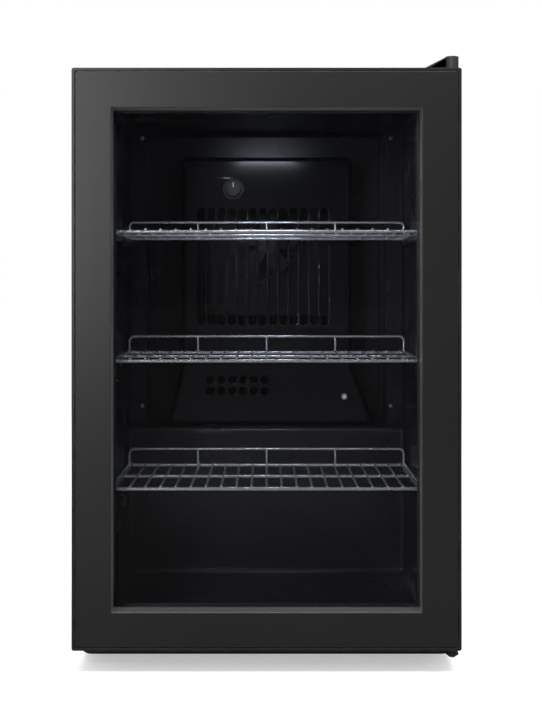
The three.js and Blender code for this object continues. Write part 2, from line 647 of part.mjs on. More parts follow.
function doorFrame() {
  const seat = grown(WINDOW, WINDOW.lip + GAP);
  const rebate = grown(WINDOW, GLASS.overlap + 2);
  const bodyRing = frontRing(DOOR, seat, FRONT, DOOR.back, DOOR.corner);
  const pocket = frontPlate(roundedRect(DOOR.rim - DOOR.half, DOOR.half - DOOR.rim, DOOR.bottom + DOOR.rim,
    DOOR.top - DOOR.rim, DOOR.corner), FRONT - OVERRUN, FRONT + DOOR.fascia + GAP, 2);
  const glassBay = box([-rebate.half, rebate.half], [FRONT + WINDOW.recess, DOOR.back + OVERRUN],
    [rebate.bottom, rebate.top]);
  const bushBore = HINGE.bush + GAP;
  const bores = [[DOOR.bottom - OVERRUN, DOOR.bottom + 26], [DOOR.top - 29, DOOR.top + OVERRUN]]
    .map(([z0, z1]) => rod(bushBore, [HINGE.x, HINGE.y, z0], [HINGE.x, HINGE.y, z1], 20));
  return cut(bodyRing, [pocket, glassBay, ...bores]);
}

function doorFascia() {
  const inset = DOOR.rim + 0.8;
  return frontRing(grown(DOOR, -inset), WINDOW, FRONT, FRONT + DOOR.fascia, DOOR.corner);
}

// The grey lining of the window opening, from the back of the front panel to the glass.
function windowBezel() {
  const front = FRONT + DOOR.fascia + GAP;
  return frontRing(grown(WINDOW, WINDOW.lip), WINDOW, front, FRONT + WINDOW.recess - GAP, WINDOW.corner);
}

function pane(y0) {
  const { half, bottom, top } = grown(WINDOW, GLASS.overlap);
  return box([-half, half], [y0, y0 + GLASS.pane], [bottom, top]);
}

function ringBehindGlass(y0, thickness, width) {
  const outer = grown(WINDOW, GLASS.overlap - 1);
  return frontRing(outer, grown(outer, -width), y0, y0 + thickness, 1);
}

function doorGasket() {
  const back = DOOR.back + GAP + GASKET.thickness;
  return frontRing(GASKET, grown(GASKET, -GASKET.width), DOOR.back + GAP, back, 4);
}

function lowerBush() {
  const { x, y, pin, bush } = HINGE;
  const collar = sleeve(bush + 2, pin + GAP, 28 + GAP, DOOR.bottom - GAP, x, y);
  return collar.add(sleeve(bush, pin + GAP, 29, DOOR.bottom + 25, x, y));
}

const outerPane = FRONT + WINDOW.recess + GAP;
const spacerFront = outerPane + GLASS.pane + GAP;
const innerPane = spacerFront + GLASS.spacer + GAP;
const retainerFront = innerPane + GLASS.pane + GAP;

addPart(door, 'door_frame', doorFrame(), BLACK_PAINT);
addPart(door, 'door_front_panel', doorFascia(), BLACK_PAINT);
addPart(door, 'window_bezel', windowBezel(), GREY_SATIN);
addPart(door, 'outer_glass', pane(outerPane), CLEAR_GLASS);
addPart(door, 'glass_spacer', ringBehindGlass(spacerFront, GLASS.spacer, GLASS.spacerWidth), ALUMINIUM);
addPart(door, 'inner_glass', pane(innerPane), CLEAR_GLASS);
addPart(door, 'glass_retainer', ringBehindGlass(retainerFront, GLASS.retainer, 10), BLACK_PLASTIC);
addPart(door, 'door_gasket', doorGasket(), RUBBER);
addPart(door, 'upper_hinge_bush', sleeve(HINGE.bush, HINGE.pin + GAP, 797, DOOR.top - GAP, HINGE.x, HINGE.y),
  WHITE_PLASTIC);
addPart(door, 'lower_hinge_bush', lowerBush(), WHITE_PLASTIC);

// ---------------------------------------------------------------- hinges

function upperBracket() {
  const { x, y, pin } = HINGE;
  const { left, back, low, high, nose } = UPPER_PLATE;
  const overDoor = box([x - nose, x + nose], [y, CABINET.front], [DOOR.top + low, DOOR.top + high]);
  const round = rod(nose, [x, y, DOOR.top + low], [x, y, DOOR.top + high], 16);
  const overCabinet = box([left, x + nose], [CABINET.front - OVERRUN, back],
    [DOOR.top + GAP, DOOR.top + high]);
  const bore = rod(pin + GAP, [x, y, DOOR.top], [x, y, DOOR.top + high + OVERRUN], 16);
  return join([overDoor, round, overCabinet]).subtract(bore);
}

function upperPin() {
  const { x, y, pin, upperPinFoot } = HINGE;
  const seat = DOOR.top + UPPER_PLATE.high + GAP;
  const head = rod(6, [x, y, seat], [x, y, seat + 3.4], 16);
  return head.add(rod(pin, [x, y, upperPinFoot], [x, y, seat + GAP], 16));
}

// The cap's solid, or its hollow when inset: a wedge that rises to the right, and a round nose over the pin.
function hingeCapBlock(inset) {
  const { x, y, barrel } = HINGE;
  const { left, back, peak, nose } = HINGE_CAP;
  const bottom = DOOR.top + 0.8 - inset;
  const right = x + barrel - inset;
  const toe = left + 2 * inset;
  const wedge = outline([[toe, bottom], [right, bottom], [right, HEIGHT - 4 - inset],
    [right - 3.6, HEIGHT - inset], [peak, HEIGHT - 1.5 - inset], [toe, DOOR.top + 2.5 - inset]]);
  const start = inset ? y - 3 : y;
  return frontPlate(wedge, start, back - inset)
    .add(rod(barrel - inset, [x, y, bottom], [x, y, nose - inset], 20));
}

function hingeCover() {
  return hingeCapBlock(0).subtract(hingeCapBlock(HINGE_CAP.wall));
}

function lowerBracket() {
  const { x, y, pin, bracketLeft } = HINGE;
  const { bottom, top, foot, sheet, nose } = LOWER_PLATE;
  const back = CABINET.front - GAP;
  const plate = box([bracketLeft, x + nose], [y, back], [bottom, top]);
  const round = rod(nose, [x, y, bottom], [x, y, top], 20);
  const leg = box([bracketLeft, x + nose], [back - sheet, back], [foot, top]);
  const bore = rod(pin + GAP, [x, y, bottom - OVERRUN], [x, y, top + OVERRUN], 16);
  return join([plate, round, leg]).subtract(bore);
}

// The lower pin is a bolt with a domed nut under the bracket.
function lowerPin() {
  const { x, y, pin } = HINGE;
  return turned([[0, 17], [3.5, 17], [7, 19.5], [9, 24.7], [pin, 24.7], [pin, 54], [0, 54]], x, y, 16);
}

const hinges = newGroup();
addPart(hinges, 'upper_hinge_bracket', upperBracket(), ZINC_STEEL);
addPart(hinges, 'upper_hinge_pin', upperPin(), ZINC_STEEL);
addPart(hinges, 'upper_hinge_cover', hingeCover(), BLACK_PLASTIC);
addPart(hinges, 'lower_hinge_bracket', lowerBracket(), BLACK_PAINT);
addPart(hinges, 'lower_hinge_pin', lowerPin(), BLACK_PAINT);

// ---------------------------------------------------------------- feet

const levellingFoot = turned([[0, 0], [FEET.pad - 2, 0], [FEET.pad, 2], [FEET.pad, 6], [9, 9], [FEET.stud, 9],
  [FEET.stud, 27], [0, 27]]);
const fixedFoot = turned([[0, 0], [FEET.pad - 2, 0], [FEET.pad, 2], [FEET.pad, BASE.bottom - GAP],
  [0, BASE.bottom - GAP]]);
for (const [side, x] of [['left', -FEET.x], ['right', FEET.x]]) {
  addPart(cooler, `front_${side}_foot`, levellingFoot, BLACK_PLASTIC, [x, FEET.front, 0]);
  addPart(cooler, `rear_${side}_foot`, fixedFoot, BLACK_PLASTIC, [x, FEET.rear, 0]);
}

export default cooler;
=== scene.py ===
"""The looks of a glass-door beverage cooler, built around its CAD frame.

Metres, +X right, -Y towards the user, +Z up. Most places come from the CAD nodes' boxes.
"""

import json
import math

import bmesh
import bpy
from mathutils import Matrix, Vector


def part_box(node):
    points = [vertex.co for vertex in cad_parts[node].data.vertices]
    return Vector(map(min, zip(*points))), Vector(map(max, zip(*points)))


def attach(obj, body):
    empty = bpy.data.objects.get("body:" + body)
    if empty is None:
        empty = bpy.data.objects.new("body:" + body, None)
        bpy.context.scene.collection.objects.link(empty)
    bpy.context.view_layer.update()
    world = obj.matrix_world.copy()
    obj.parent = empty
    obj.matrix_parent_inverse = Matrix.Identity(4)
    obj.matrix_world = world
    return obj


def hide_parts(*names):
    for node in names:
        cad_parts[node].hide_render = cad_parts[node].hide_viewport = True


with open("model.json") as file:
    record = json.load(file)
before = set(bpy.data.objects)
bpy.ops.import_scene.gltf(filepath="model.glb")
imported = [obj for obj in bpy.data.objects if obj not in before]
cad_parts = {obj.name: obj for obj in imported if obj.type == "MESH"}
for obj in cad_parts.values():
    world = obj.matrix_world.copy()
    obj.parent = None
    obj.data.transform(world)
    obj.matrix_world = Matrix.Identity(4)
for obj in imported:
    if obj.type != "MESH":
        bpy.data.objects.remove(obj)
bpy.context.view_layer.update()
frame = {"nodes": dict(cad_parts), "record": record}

MM = 0.001
GAP = 0.3 * MM  # between touching pieces, as in the CAD
BODY_OF = {node: body for body, nodes in frame["record"]["behaviour"]["bodies"].items() for node in nodes}

# Details that the CAD frame leaves to the looks.
SHEET_FOLD = 2.5 * MM
DOOR_CORNER, WINDOW_CORNER = 3 * MM, 2 * MM
LINER_ROUND = 10 * MM
LINER_STEP = 0.071  # how far back the liner steps up over the compressor bay
LINER_WALL = 2 * MM
COVER_HALF, COVER_ROUND, COVER_WALL = 141 * MM, 8 * MM, 2 * MM
COVER_FLARE_START, COVER_FLARE_END = 0.400, 0.334
COVER_SEAM = 0.709
DRAIN_HOLE, DRAIN_DEPTH = 6 * MM, 0.15
SLOT_FIRST, SLOT_PITCH, SLOT_WIDTH, SLOT_COUNT = -108.7 * MM, 17.1 * MM, 12.2 * MM, 13
SLOT_BOTTOM, SLOT_TOP = 0.465, 0.659
VENT_ROWS, VENT_FIRST, VENT_PITCH = (0.3556, 0.3746), -93.1 * MM, 18 * MM
VENT_COUNT, VENT_RADIUS = 6, 6.5 * MM
BEZEL_WALL = 2.7 * MM
SHELF_WIRES, SHELF_PITCH, SHELF_RAIL, SHELF_WIRE = 21, 21.4 * MM, 2.5 * MM, 1.6 * MM


# ---------------------------------------------------------------- mesh code

def quad_strip(bm, low, high):
    """Faces between two closed loops of as many vertices."""
    count = len(low)
    for i in range(count):
        j = (i + 1) % count
        bm.faces.new((low[i], low[j], high[j], high[i]))


def skin(loops, closed=False):
    """A solid through loops of points: a closed section, or with both ends capped."""
    bm = bmesh.new()
    rows = [[bm.verts.new(point) for point in loop] for loop in loops]
    for low, high in zip(rows, rows[1:]):
        quad_strip(bm, low, high)
    if closed:
        quad_strip(bm, rows[-1], rows[0])
    else:
        bm.faces.new(rows[0][::-1])
        bm.faces.new(rows[-1])
    bmesh.ops.recalc_face_normals(bm, faces=bm.faces)
    return bm


def joined(parts):
    """All the meshes as one bmesh of separate islands."""
    whole = bmesh.new()
    for part in parts:
        mesh = bpy.data.meshes.new("part")
        part.to_mesh(mesh)
        part.free()
        whole.from_mesh(mesh)
        bpy.data.meshes.remove(mesh)
    return whole


def rounded_rect(rect, radius, y, steps=5):
    """A loop in XZ round rect = (half width, bottom, top), at depth y."""
    half, bottom, top = rect
    corners = ((half, bottom, 1, 1), (half, top, 1, -1), (-half, top, -1, -1), (-half, bottom, -1, 1))
    loop = []
    for turn, (x, z, inward_x, inward_z) in enumerate(corners):
        centre = Vector((x - inward_x * radius, y, z + inward_z * radius))
        for k in range(steps + 1):
            angle = math.radians(90 * (turn - 1 + k / steps))
            loop.append(centre + radius * Vector((math.cos(angle), 0, math.sin(angle))))
    return loop


def grown(rect, by):
    half, bottom, top = rect
    return half + by, bottom - by, top + by


def rect_of(node, by=0.0):
    low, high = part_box(node)
    return grown((high.x, low.z, high.z), by)


def ring(section):
    """A frame seen from the front. Its section is (rect, corner radius, y) points in order."""
    return skin([rounded_rect(rect, radius, y) for rect, radius, y in section], closed=True)


def prism(outline, start, end):
    """An outline of (x, z) points carried from y = start to y = end."""
    return skin([[Vector((x, y, z)) for x, z in outline] for y in (start, end)])


def block(low, high):
    corners = ((low[0], low[2]), (high[0], low[2]), (high[0], high[2]), (low[0], high[2]))
    return prism(corners, low[1], high[1])


def circle(centre, across, up, radius, sides):
    turns = (2 * math.pi * k / sides for k in range(sides))
    return [centre + radius * (math.cos(t) * across + math.sin(t) * up) for t in turns]


def lathe(profile, base, axis=(0, 0, 1), sides=48, flutes=0, flute=0.0):
    """A turned solid: (radius, height) pairs from base along axis, with flutes round the widest part."""
    axis = Vector(axis).normalized()
    across = axis.orthogonal().normalized()
    up = axis.cross(across)
    widest = max(point[0] for point in profile)
    loops = []
    for radius, height in profile:
        loop = []
        for k in range(sides):
            turn = 2 * math.pi * k / sides
            ripple = flute * math.cos(flutes * turn) * (radius / widest) ** 4 if flutes else 0
            reach = max(radius - flute + ripple, 0.02 * MM) if flutes else max(radius, 0.02 * MM)
            spoke = math.cos(turn) * across + math.sin(turn) * up
            loop.append(Vector(base) + height * axis + reach * spoke)
        loops.append(loop)
    return skin(loops)


def filleted(points, radius, steps=5):
    """A path with its corners turned into arcs."""
    points = [Vector(p) for p in points]
    path = [points[0]]
    for before, corner, after in zip(points, points[1:], points[2:]):
        back, ahead = (before - corner), (after - corner)
        cut = min(radius, 0.49 * back.length, 0.49 * ahead.length)
        start, end = corner + cut * back.normalized(), corner + cut * ahead.normalized()
        for k in range(steps + 1):
            t = k / steps
            path.append((1 - t) ** 2 * start + 2 * t * (1 - t) * corner + t * t * end)
    return path + [points[-1]]


def tube(path, radius, sides=12, closed=False):
    """A round rod along a path, with domed ends, or a closed loop of rod."""
    path = [Vector(p) for p in path]
    ways = []
    for i, point in enumerate(path):
        before = path[i - 1] if i or closed else point
        after = path[(i + 1) % len(path)] if i + 1 < len(path) or closed else point
        ways.append((after - before).normalized())
    across = ways[0].orthogonal().normalized()
    loops = []
    for point, way in zip(path, ways):
        across = (across - across.dot(way) * way).normalized()
        loops.append(circle(point, across, way.cross(across), radius, sides))
    if not closed:
        loops = domed(loops, path, ways, radius)
    return skin(loops, closed)


def domed(loops, path, ways, radius):
    """Smaller loops before the first and after the last, so that a rod ends in a shallow dome."""
    def cap(loop, centre, out):
        return [[centre + share * (p - centre) + 0.35 * radius * rise * out for p in loop]
                for share, rise in ((0.8, 0.6), (0.4, 0.95))]
    start = cap(loops[0], path[0], -ways[0])
    end = cap(loops[-1], path[-1], ways[-1])
    return start[::-1] + loops + end


def rounded(bm, radius, segments=4, where=lambda edge: True, angle=35):
    """Rounds the sharp edges that where() picks."""
    sharp = [edge for edge in bm.edges
             if len(edge.link_faces) == 2 and edge.calc_face_angle(0) > math.radians(angle) and where(edge)]
    bmesh.ops.bevel(bm, geom=sharp, offset=radius, segments=segments, profile=0.5, affect="EDGES",
                    clamp_overlap=True)
    return bm


def modified(bm, kind, tool=None, **settings):
    """bm with one modifier applied. A tool is another bmesh, for a Boolean."""
    things = []
    for part in (bm, tool):
        if part is not None:
            mesh = bpy.data.meshes.new("part")
            part.to_mesh(mesh)
            part.free()
            things.append(bpy.data.objects.new("part", mesh))
            bpy.context.scene.collection.objects.link(things[-1])
    modifier = things[0].modifiers.new("change", kind)
    if tool is not None:
        modifier.object = things[1]
        modifier.solver = "EXACT"
    for key, value in settings.items():
        setattr(modifier, key, value)
    result = bmesh.new()
    result.from_object(things[0], bpy.context.evaluated_depsgraph_get())
    for thing in things:
        bpy.data.meshes.remove(thing.data)
    return result


def cut(bm, tools):
    return modified(bm, "BOOLEAN", tool=joined(tools), operation="DIFFERENCE", use_self=False)


def shelled(bm, open_face, wall):
    """A hollow shell: the faces that open_face() picks are taken off, and the rest gets a wall inward."""
    bmesh.ops.delete(bm, geom=[face for face in bm.faces if open_face(face)], context="FACES")
    return modified(bm, "SOLIDIFY", thickness=wall, offset=-1, use_even_offset=True)


def from_cad(*nodes):
    """The CAD nodes' own shapes with their flat faces made whole."""
    bm = bmesh.new()
    for node in nodes:
        bm.from_mesh(frame["nodes"][node].data)
    bmesh.ops.remove_doubles(bm, verts=bm.verts, dist=0.005 * MM)
    bmesh.ops.dissolve_limit(bm, angle_limit=math.radians(1), verts=bm.verts, edges=bm.edges)
    return bm


def piece(name, bm, look, node, edge=0.0, segments=2, angle=35, stands_for=True):
    """A finished piece that rides with a CAD node's body and stands for that node."""
    bmesh.ops.recalc_face_normals(bm, faces=bm.faces)
    mesh = bpy.data.meshes.new(name)
    bm.to_mesh(mesh)
    bm.free()
    mesh.shade_smooth()
    mesh.set_sharp_from_angle(angle=math.radians(angle))
    mesh.materials.append(look)
    thing = bpy.data.objects.new(name, mesh)
    bpy.context.scene.collection.objects.link(thing)
    if edge:
        bevel = thing.modifiers.new("edges", "BEVEL")
        bevel.width = edge
        bevel.segments = segments
        bevel.limit_method = "ANGLE"
        bevel.angle_limit = math.radians(angle)
    weighted = thing.modifiers.new("flats", "WEIGHTED_NORMAL")
    weighted.keep_sharp = True
    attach(thing, BODY_OF[node])
    if stands_for:
        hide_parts(node)
    return thing


def refined(node, look, edge, segments=2, angle=35):
    """The CAD shape itself, with worked edges."""
    return piece(f"{node}.visual", from_cad(node), look, node, edge, segments, angle)


# ---------------------------------------------------------------- materials

class Finish:
    """A procedural surface: a shader whose colour, roughness and relief come from textures."""

    def __init__(self, name, metallic=0.0, **fixed):
        self.material = bpy.data.materials.new(name)
        self.material.use_nodes = True
        self.nodes = self.material.node_tree.nodes
        self.links = self.material.node_tree.links
        self.shader = self.nodes["Principled BSDF"]
        self.shader.inputs["Metallic"].default_value = metallic
        for key, value in fixed.items():
            self.shader.inputs[key.replace("_", " ")].default_value = value
        self.place = self.nodes.new("ShaderNodeTexCoord").outputs["Object"]

    def node(self, kind, **settings):
        made = self.nodes.new(kind)
        for key, value in settings.items():
            setattr(made, key, value)
        return made

    def noise(self, scale, detail=4.0, stretch=(1, 1, 1), distortion=0.0):
        mapping = self.node("ShaderNodeMapping")
        mapping.inputs["Scale"].default_value = stretch
        self.links.new(self.place, mapping.inputs["Vector"])
        noise = self.node("ShaderNodeTexNoise")
        noise.inputs["Scale"].default_value = scale
        noise.inputs["Detail"].default_value = detail
        noise.inputs["Distortion"].default_value = distortion
        self.links.new(mapping.outputs["Vector"], noise.inputs["Vector"])
        return noise.outputs["Fac"]

    def cells(self, scale, feature="F1"):
        cells = self.node("ShaderNodeTexVoronoi", feature=feature)
        cells.inputs["Scale"].default_value = scale
        self.links.new(self.place, cells.inputs["Vector"])
        return cells.outputs["Distance"]

    def edges(self):
        """1 on edges, 0 on flats: the mask for rubbed wear and for a painted highlight along edges."""
        soft = self.node("ShaderNodeBevel", samples=4)
        soft.inputs["Radius"].default_value = 1.2 * MM
        bend = self.node("ShaderNodeVectorMath", operation="DOT_PRODUCT")
        self.links.new(soft.outputs["Normal"], bend.inputs[0])
        self.links.new(self.node("ShaderNodeNewGeometry").outputs["Normal"], bend.inputs[1])
        return self.spread(bend.outputs["Value"], (0.97, 0.8), (0, 1))

    def spread(self, value, source, target):
        spread = self.node("ShaderNodeMapRange")
        for key, bound in zip(("From Min", "From Max", "To Min", "To Max"), (*source, *target)):
            spread.inputs[key].default_value = bound
        self.links.new(value, spread.inputs["Value"])
        return spread.outputs["Result"]

    def times(self, first, second):
        product = self.node("ShaderNodeMath", operation="MULTIPLY")
        self.links.new(first, product.inputs[0])
        self.links.new(second, product.inputs[1])
        return product.outputs["Value"]

    def blend(self, amount, first, second):
        """A colour between two, either of which is a colour or another blend."""
        mix = self.node("ShaderNodeMix", data_type="RGBA")
        self.links.new(amount, mix.inputs[0])
        for socket, colour in ((mix.inputs[6], first), (mix.inputs[7], second)):
            if isinstance(colour, tuple):
                socket.default_value = (*colour, 1)
            else:
                self.links.new(colour, socket)
        return mix.outputs[2]

    def coloured(self, colour):
        self.links.new(colour, self.shader.inputs["Base Color"])
        return self

    def rough(self, value, low, high, source=(0.3, 0.7)):
        self.links.new(self.spread(value, source, (low, high)), self.shader.inputs["Roughness"])
        return self

    def relief(self, height, depth, strength=1.0):
        bump = self.node("ShaderNodeBump")
        bump.inputs["Distance"].default_value = depth
        bump.inputs["Strength"].default_value = strength
        self.links.new(height, bump.inputs["Height"])
        previous = self.shader.inputs["Normal"].links
        if previous:
            self.links.new(previous[0].from_socket, bump.inputs["Normal"])
        self.links.new(bump.outputs["Normal"], self.shader.inputs["Normal"])
        return self


def shade(colour, by):
    return tuple(channel * by for channel in colour)


def paint(name, colour, smooth, edge_wear_and_highlight, peel=0.03, coat=0.0, metallic=0.0):
    """Satin powder coat: orange peel, faint cloudiness, handling marks, and edges lightened in patches,
    partly as rubbed wear and partly as a painted highlight.
    """
    look = Finish(name, metallic=metallic, Coat_Weight=coat, Coat_Roughness=0.25)
    clouds = look.noise(4, detail=3)
    body = look.blend(look.spread(clouds, (0.3, 0.7), (0, 1)), shade(colour, 0.92), shade(colour, 1.08))
    # edges lightened in patches: partly rubbed wear, partly a painted highlight
    rubbed_and_highlit = look.times(look.edges(), look.spread(look.noise(60), (0.45, 0.7), (0, 0.7)))
    look.coloured(look.blend(rubbed_and_highlit, body, edge_wear_and_highlight))
    look.rough(look.noise(2.5, detail=2), smooth - 0.02, smooth + 0.03)
    return look.relief(look.noise(700, detail=2), peel * MM, 0.5).material


def moulded(name, colour, smooth, grain=900, depth=0.03, edge_wear_and_highlight=None):
    """Moulded plastic with a fine grain."""
    look = Finish(name)
    body = look.blend(look.spread(look.noise(5, detail=2), (0.3, 0.7), (0, 1)),
                      shade(colour, 0.94), shade(colour, 1.06))
    # edges lightened in patches: partly rubbed wear, partly a painted highlight
    if edge_wear_and_highlight:
        rubbed_and_highlit = look.times(look.edges(), look.spread(look.noise(80), (0.4, 0.7), (0, 0.6)))
        body = look.blend(rubbed_and_highlit, body, edge_wear_and_highlight)
    look.coloured(body)
    look.rough(look.noise(6, detail=2), smooth - 0.02, smooth + 0.03)
    return look.relief(look.noise(grain, detail=2), depth * MM, 0.35).material


def metal(name, colour, smooth, stretch=(1, 1, 1), scale=300, depth=0.02, stain=None,
          metallic=1.0):
    """Bare or plated metal: brush or draw lines, smudges and, where stain is a colour, tarnish."""
    look = Finish(name, metallic=metallic)
    body = look.blend(look.spread(look.noise(25, detail=6), (0.3, 0.7), (0, 1)),
                      shade(colour, 0.88), shade(colour, 1.08))
    if stain:
        tarnish = look.spread(look.noise(14, detail=5), (0.5, 0.72), (0, 0.3))
        body = look.blend(tarnish, body, stain)
    look.coloured(body)
    look.rough(look.noise(16, detail=4), smooth * 0.85, smooth * 1.2)
    return look.relief(look.noise(scale, detail=3, stretch=stretch), depth * MM, 0.4).material


def pane_glass():
    """A clear pane that mirrors by Fresnel and lets everything else through, faintly smeared."""
    look = Finish("clear_glass")
    clear = look.node("ShaderNodeBsdfTransparent")
    clear.inputs["Color"].default_value = (0.968, 0.972, 0.980, 1)
    mirror = look.node("ShaderNodeBsdfGlossy")
    look.links.new(look.spread(look.noise(9, detail=6, distortion=1), (0.35, 0.7), (0.0, 0.05)),
                   mirror.inputs["Roughness"])
    fresnel = look.node("ShaderNodeFresnel")
    fresnel.inputs["IOR"].default_value = 1.22
    mix = look.node("ShaderNodeMixShader")
    look.links.new(fresnel.outputs["Fac"], mix.inputs["Fac"])
    look.links.new(clear.outputs["BSDF"], mix.inputs[1])
    look.links.new(mirror.outputs["BSDF"], mix.inputs[2])
    look.nodes.remove(look.shader)
    look.links.new(mix.outputs["Shader"], look.nodes["Material Output"].inputs["Surface"])
    return look.material


def lit_lens():
    """The opal lens over the lamp's diodes: its glow and colour vary in patches along its length."""
    look = Finish("lamp_diffuser", Emission_Strength=1.6, Roughness=0.35)
    patches = look.spread(look.noise(30, detail=2, stretch=(1, 0.2, 0.2)), (0.3, 0.7), (0, 1))
    glow = look.blend(patches, (0.80, 0.90, 1.0), (0.66, 0.80, 1.0))
    look.links.new(glow, look.shader.inputs["Emission Color"])
    return look.coloured(look.blend(patches, (0.85, 0.87, 0.9), (0.75, 0.78, 0.82))).material


def foam_skin():
    look = Finish("foam")
    pores = look.cells(450)
    look.coloured(look.blend(look.spread(pores, (0, 0.5), (0, 1)), (0.42, 0.30, 0.12), (0.74, 0.6, 0.34)))
    look.rough(look.noise(60), 0.8, 0.95)
    return look.relief(pores, 0.4 * MM, 0.6).material


def rubber(name, colour=(0.018, 0.018, 0.02)):
    look = Finish(name, Sheen_Weight=0.15)
    dust = look.spread(look.noise(35, detail=7), (0.5, 0.75), (0, 0.5))
    look.coloured(look.blend(dust, colour, shade(colour, 2.6)))
    look.rough(look.noise(50, detail=5), 0.62, 0.82)
    return look.relief(look.noise(1400, detail=2), 0.03 * MM, 0.4).material


def circuit_board():
    """White solder mask over faint copper tracks."""
    look = Finish("led_board_mask", Roughness=0.45)
    tracks = look.spread(look.noise(120, detail=1, stretch=(0.2, 3, 1)), (0.52, 0.56), (0, 0.4))
    look.coloured(look.blend(tracks, (0.82, 0.84, 0.86), (0.62, 0.6, 0.5)))
    return look.relief(tracks, 0.03 * MM, 0.5).material


BLACK_PAINT = paint("black_paint", (0.006, 0.006, 0.0065), 0.42, (0.10, 0.10, 0.105))
DOOR_PAINT = paint("door_paint", (0.006, 0.006, 0.0062), 0.40, (0.12, 0.12, 0.125), peel=0.02, coat=0.15)
GREY_BEZEL = paint("grey_bezel", (0.22, 0.222, 0.232), 0.36, (0.32, 0.32, 0.33), peel=0.015, metallic=0.7)
MACHINE_PAINT = paint("machine_paint", (0.014, 0.014, 0.015), 0.34, (0.09, 0.09, 0.09), peel=0.05)
LINER = moulded("liner_plastic", (0.009, 0.009, 0.0125), 0.26, grain=900, depth=0.01)
COVER = moulded("cover_plastic", (0.0045, 0.0045, 0.0065), 0.15, grain=900, depth=0.01)
BLACK_PLASTIC = moulded("black_plastic", (0.022, 0.022, 0.024), 0.48, edge_wear_and_highlight=(0.07, 0.07, 0.075))
WHITE_PLASTIC = moulded("white_plastic", (0.72, 0.72, 0.74), 0.42, grain=800)
CHROME = metal("chrome_wire", (0.80, 0.81, 0.84), 0.19, scale=600, depth=0.006, metallic=0.75)
ZINC = metal("zinc_steel", (0.50, 0.51, 0.53), 0.36, stretch=(1, 12, 1), scale=120, stain=(0.36, 0.36, 0.36))
COPPER = metal("copper_pipe", (0.62, 0.28, 0.15), 0.28, scale=500, stain=(0.22, 0.10, 0.06))
ALUMINIUM = metal("aluminium_fins", (0.70, 0.71, 0.73), 0.33, stretch=(1, 1, 20), scale=60)
# painted shade: the evaporator's bare aluminium fins are made near black so that the space behind the slots
# reads dark
FINS_IN_PAINTED_SHADE = metal("fins_in_painted_shade", (0.012, 0.012, 0.014), 0.45, stretch=(1, 1, 20), scale=60)
RUBBER = rubber("rubber_seal")
FOAM = foam_skin()
GLASS = pane_glass()
LENS = lit_lens()
BOARD = circuit_board()


# ---------------------------------------------------------------- door

def door_frame():
    low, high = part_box("door_frame")
    outer = rect_of("door_frame")
    rim = grown(outer, -4 * MM)
    seat = rect_of("window_bezel", GAP)
    rebate = rect_of("outer_glass", 2 * MM)
    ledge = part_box("window_bezel")[1].y + GAP
    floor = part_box("door_front_panel")[1].y + GAP
    body = ring([(outer, DOOR_CORNER, low.y), (rim, DOOR_CORNER, low.y), (rim, DOOR_CORNER, floor),
                 (seat, WINDOW_CORNER, floor), (seat, WINDOW_CORNER, ledge), (rebate, WINDOW_CORNER, ledge),
                 (rebate, WINDOW_CORNER, high.y), (outer, DOOR_CORNER, high.y)])
    bores = []
    reach = 7.3 * MM
    for bush, past in (("upper_hinge_bush", 2 * MM), ("lower_hinge_bush", GAP)):
        start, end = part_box(bush)
        centre = (start + end) / 2
        bottom, top = start.z - 2 * MM, end.z + past
        bores.append(lathe([(reach, 0), (reach, top - bottom)], (centre.x, centre.y, bottom)))
    piece("door_frame.visual", cut(body, bores), DOOR_PAINT, "door_frame", edge=0.7 * MM, segments=3)


def door_front():
    low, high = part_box("door_front_panel")
    outer, seat = rect_of("door_front_panel"), rect_of("window_bezel", -BEZEL_WALL)
    panel = ring([(outer, DOOR_CORNER, low.y), (seat, WINDOW_CORNER, low.y), (seat, WINDOW_CORNER, high.y),
                  (outer, DOOR_CORNER, high.y)])
    piece("door_front_panel.visual", panel, DOOR_PAINT, "door_front_panel", edge=0.8 * MM, segments=4)


def window_bezel():
    """The grey lining of the window. A groove parts it in two, and the back half stands lower."""
    low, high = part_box("window_bezel")
    outer = rect_of("window_bezel")
    window = grown(outer, -BEZEL_WALL)
    middle = (low.y + high.y) / 2
    near, far = middle - 0.6 * MM, middle + 0.6 * MM
    groove, step = grown(window, 1.3 * MM), grown(window, 0.5 * MM)
    section = [(outer, DOOR_CORNER, low.y), (window, WINDOW_CORNER, low.y), (window, WINDOW_CORNER, near),
               (groove, DOOR_CORNER, near), (groove, DOOR_CORNER, far), (step, WINDOW_CORNER, far),
               (step, WINDOW_CORNER, high.y), (outer, DOOR_CORNER, high.y)]
    piece("window_bezel.visual", ring(section), GREY_BEZEL, "window_bezel", edge=0.35 * MM, segments=3)


def door_gasket():
    """A magnetic bulb on a bellows strip."""
    low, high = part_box("door_gasket")
    outer = rect_of("door_gasket")
    depth = high.y - low.y
    width = 14 * MM
    profile = ((0, 0), (0, 0.16), (0.12, 0.22), (0.2, 0.32), (0.1, 0.42), (0.08, 0.62), (0.12, 0.86),
               (0.22, 1), (0.78, 1), (0.88, 0.86), (0.92, 0.62), (0.9, 0.42), (0.8, 0.32), (0.88, 0.22),
               (1, 0.16), (1, 0))
    section = [(grown(outer, -u * width), (4 - 2 * u) * MM, low.y + v * depth) for u, v in profile]
    piece("door_gasket.visual", ring(section), RUBBER, "door_gasket", edge=0.2 * MM)


def door():
    door_frame()
    door_front()
    window_bezel()
    door_gasket()
    for pane in ("outer_glass", "inner_glass"):
        refined(pane, GLASS, 0.4 * MM)
    refined("glass_spacer", ALUMINIUM, 0.5 * MM)
    refined("glass_retainer", BLACK_PLASTIC, 0.4 * MM)
    for bush in ("upper_hinge_bush", "lower_hinge_bush"):
        refined(bush, WHITE_PLASTIC, 0.3 * MM)


# ---------------------------------------------------------------- cabinet

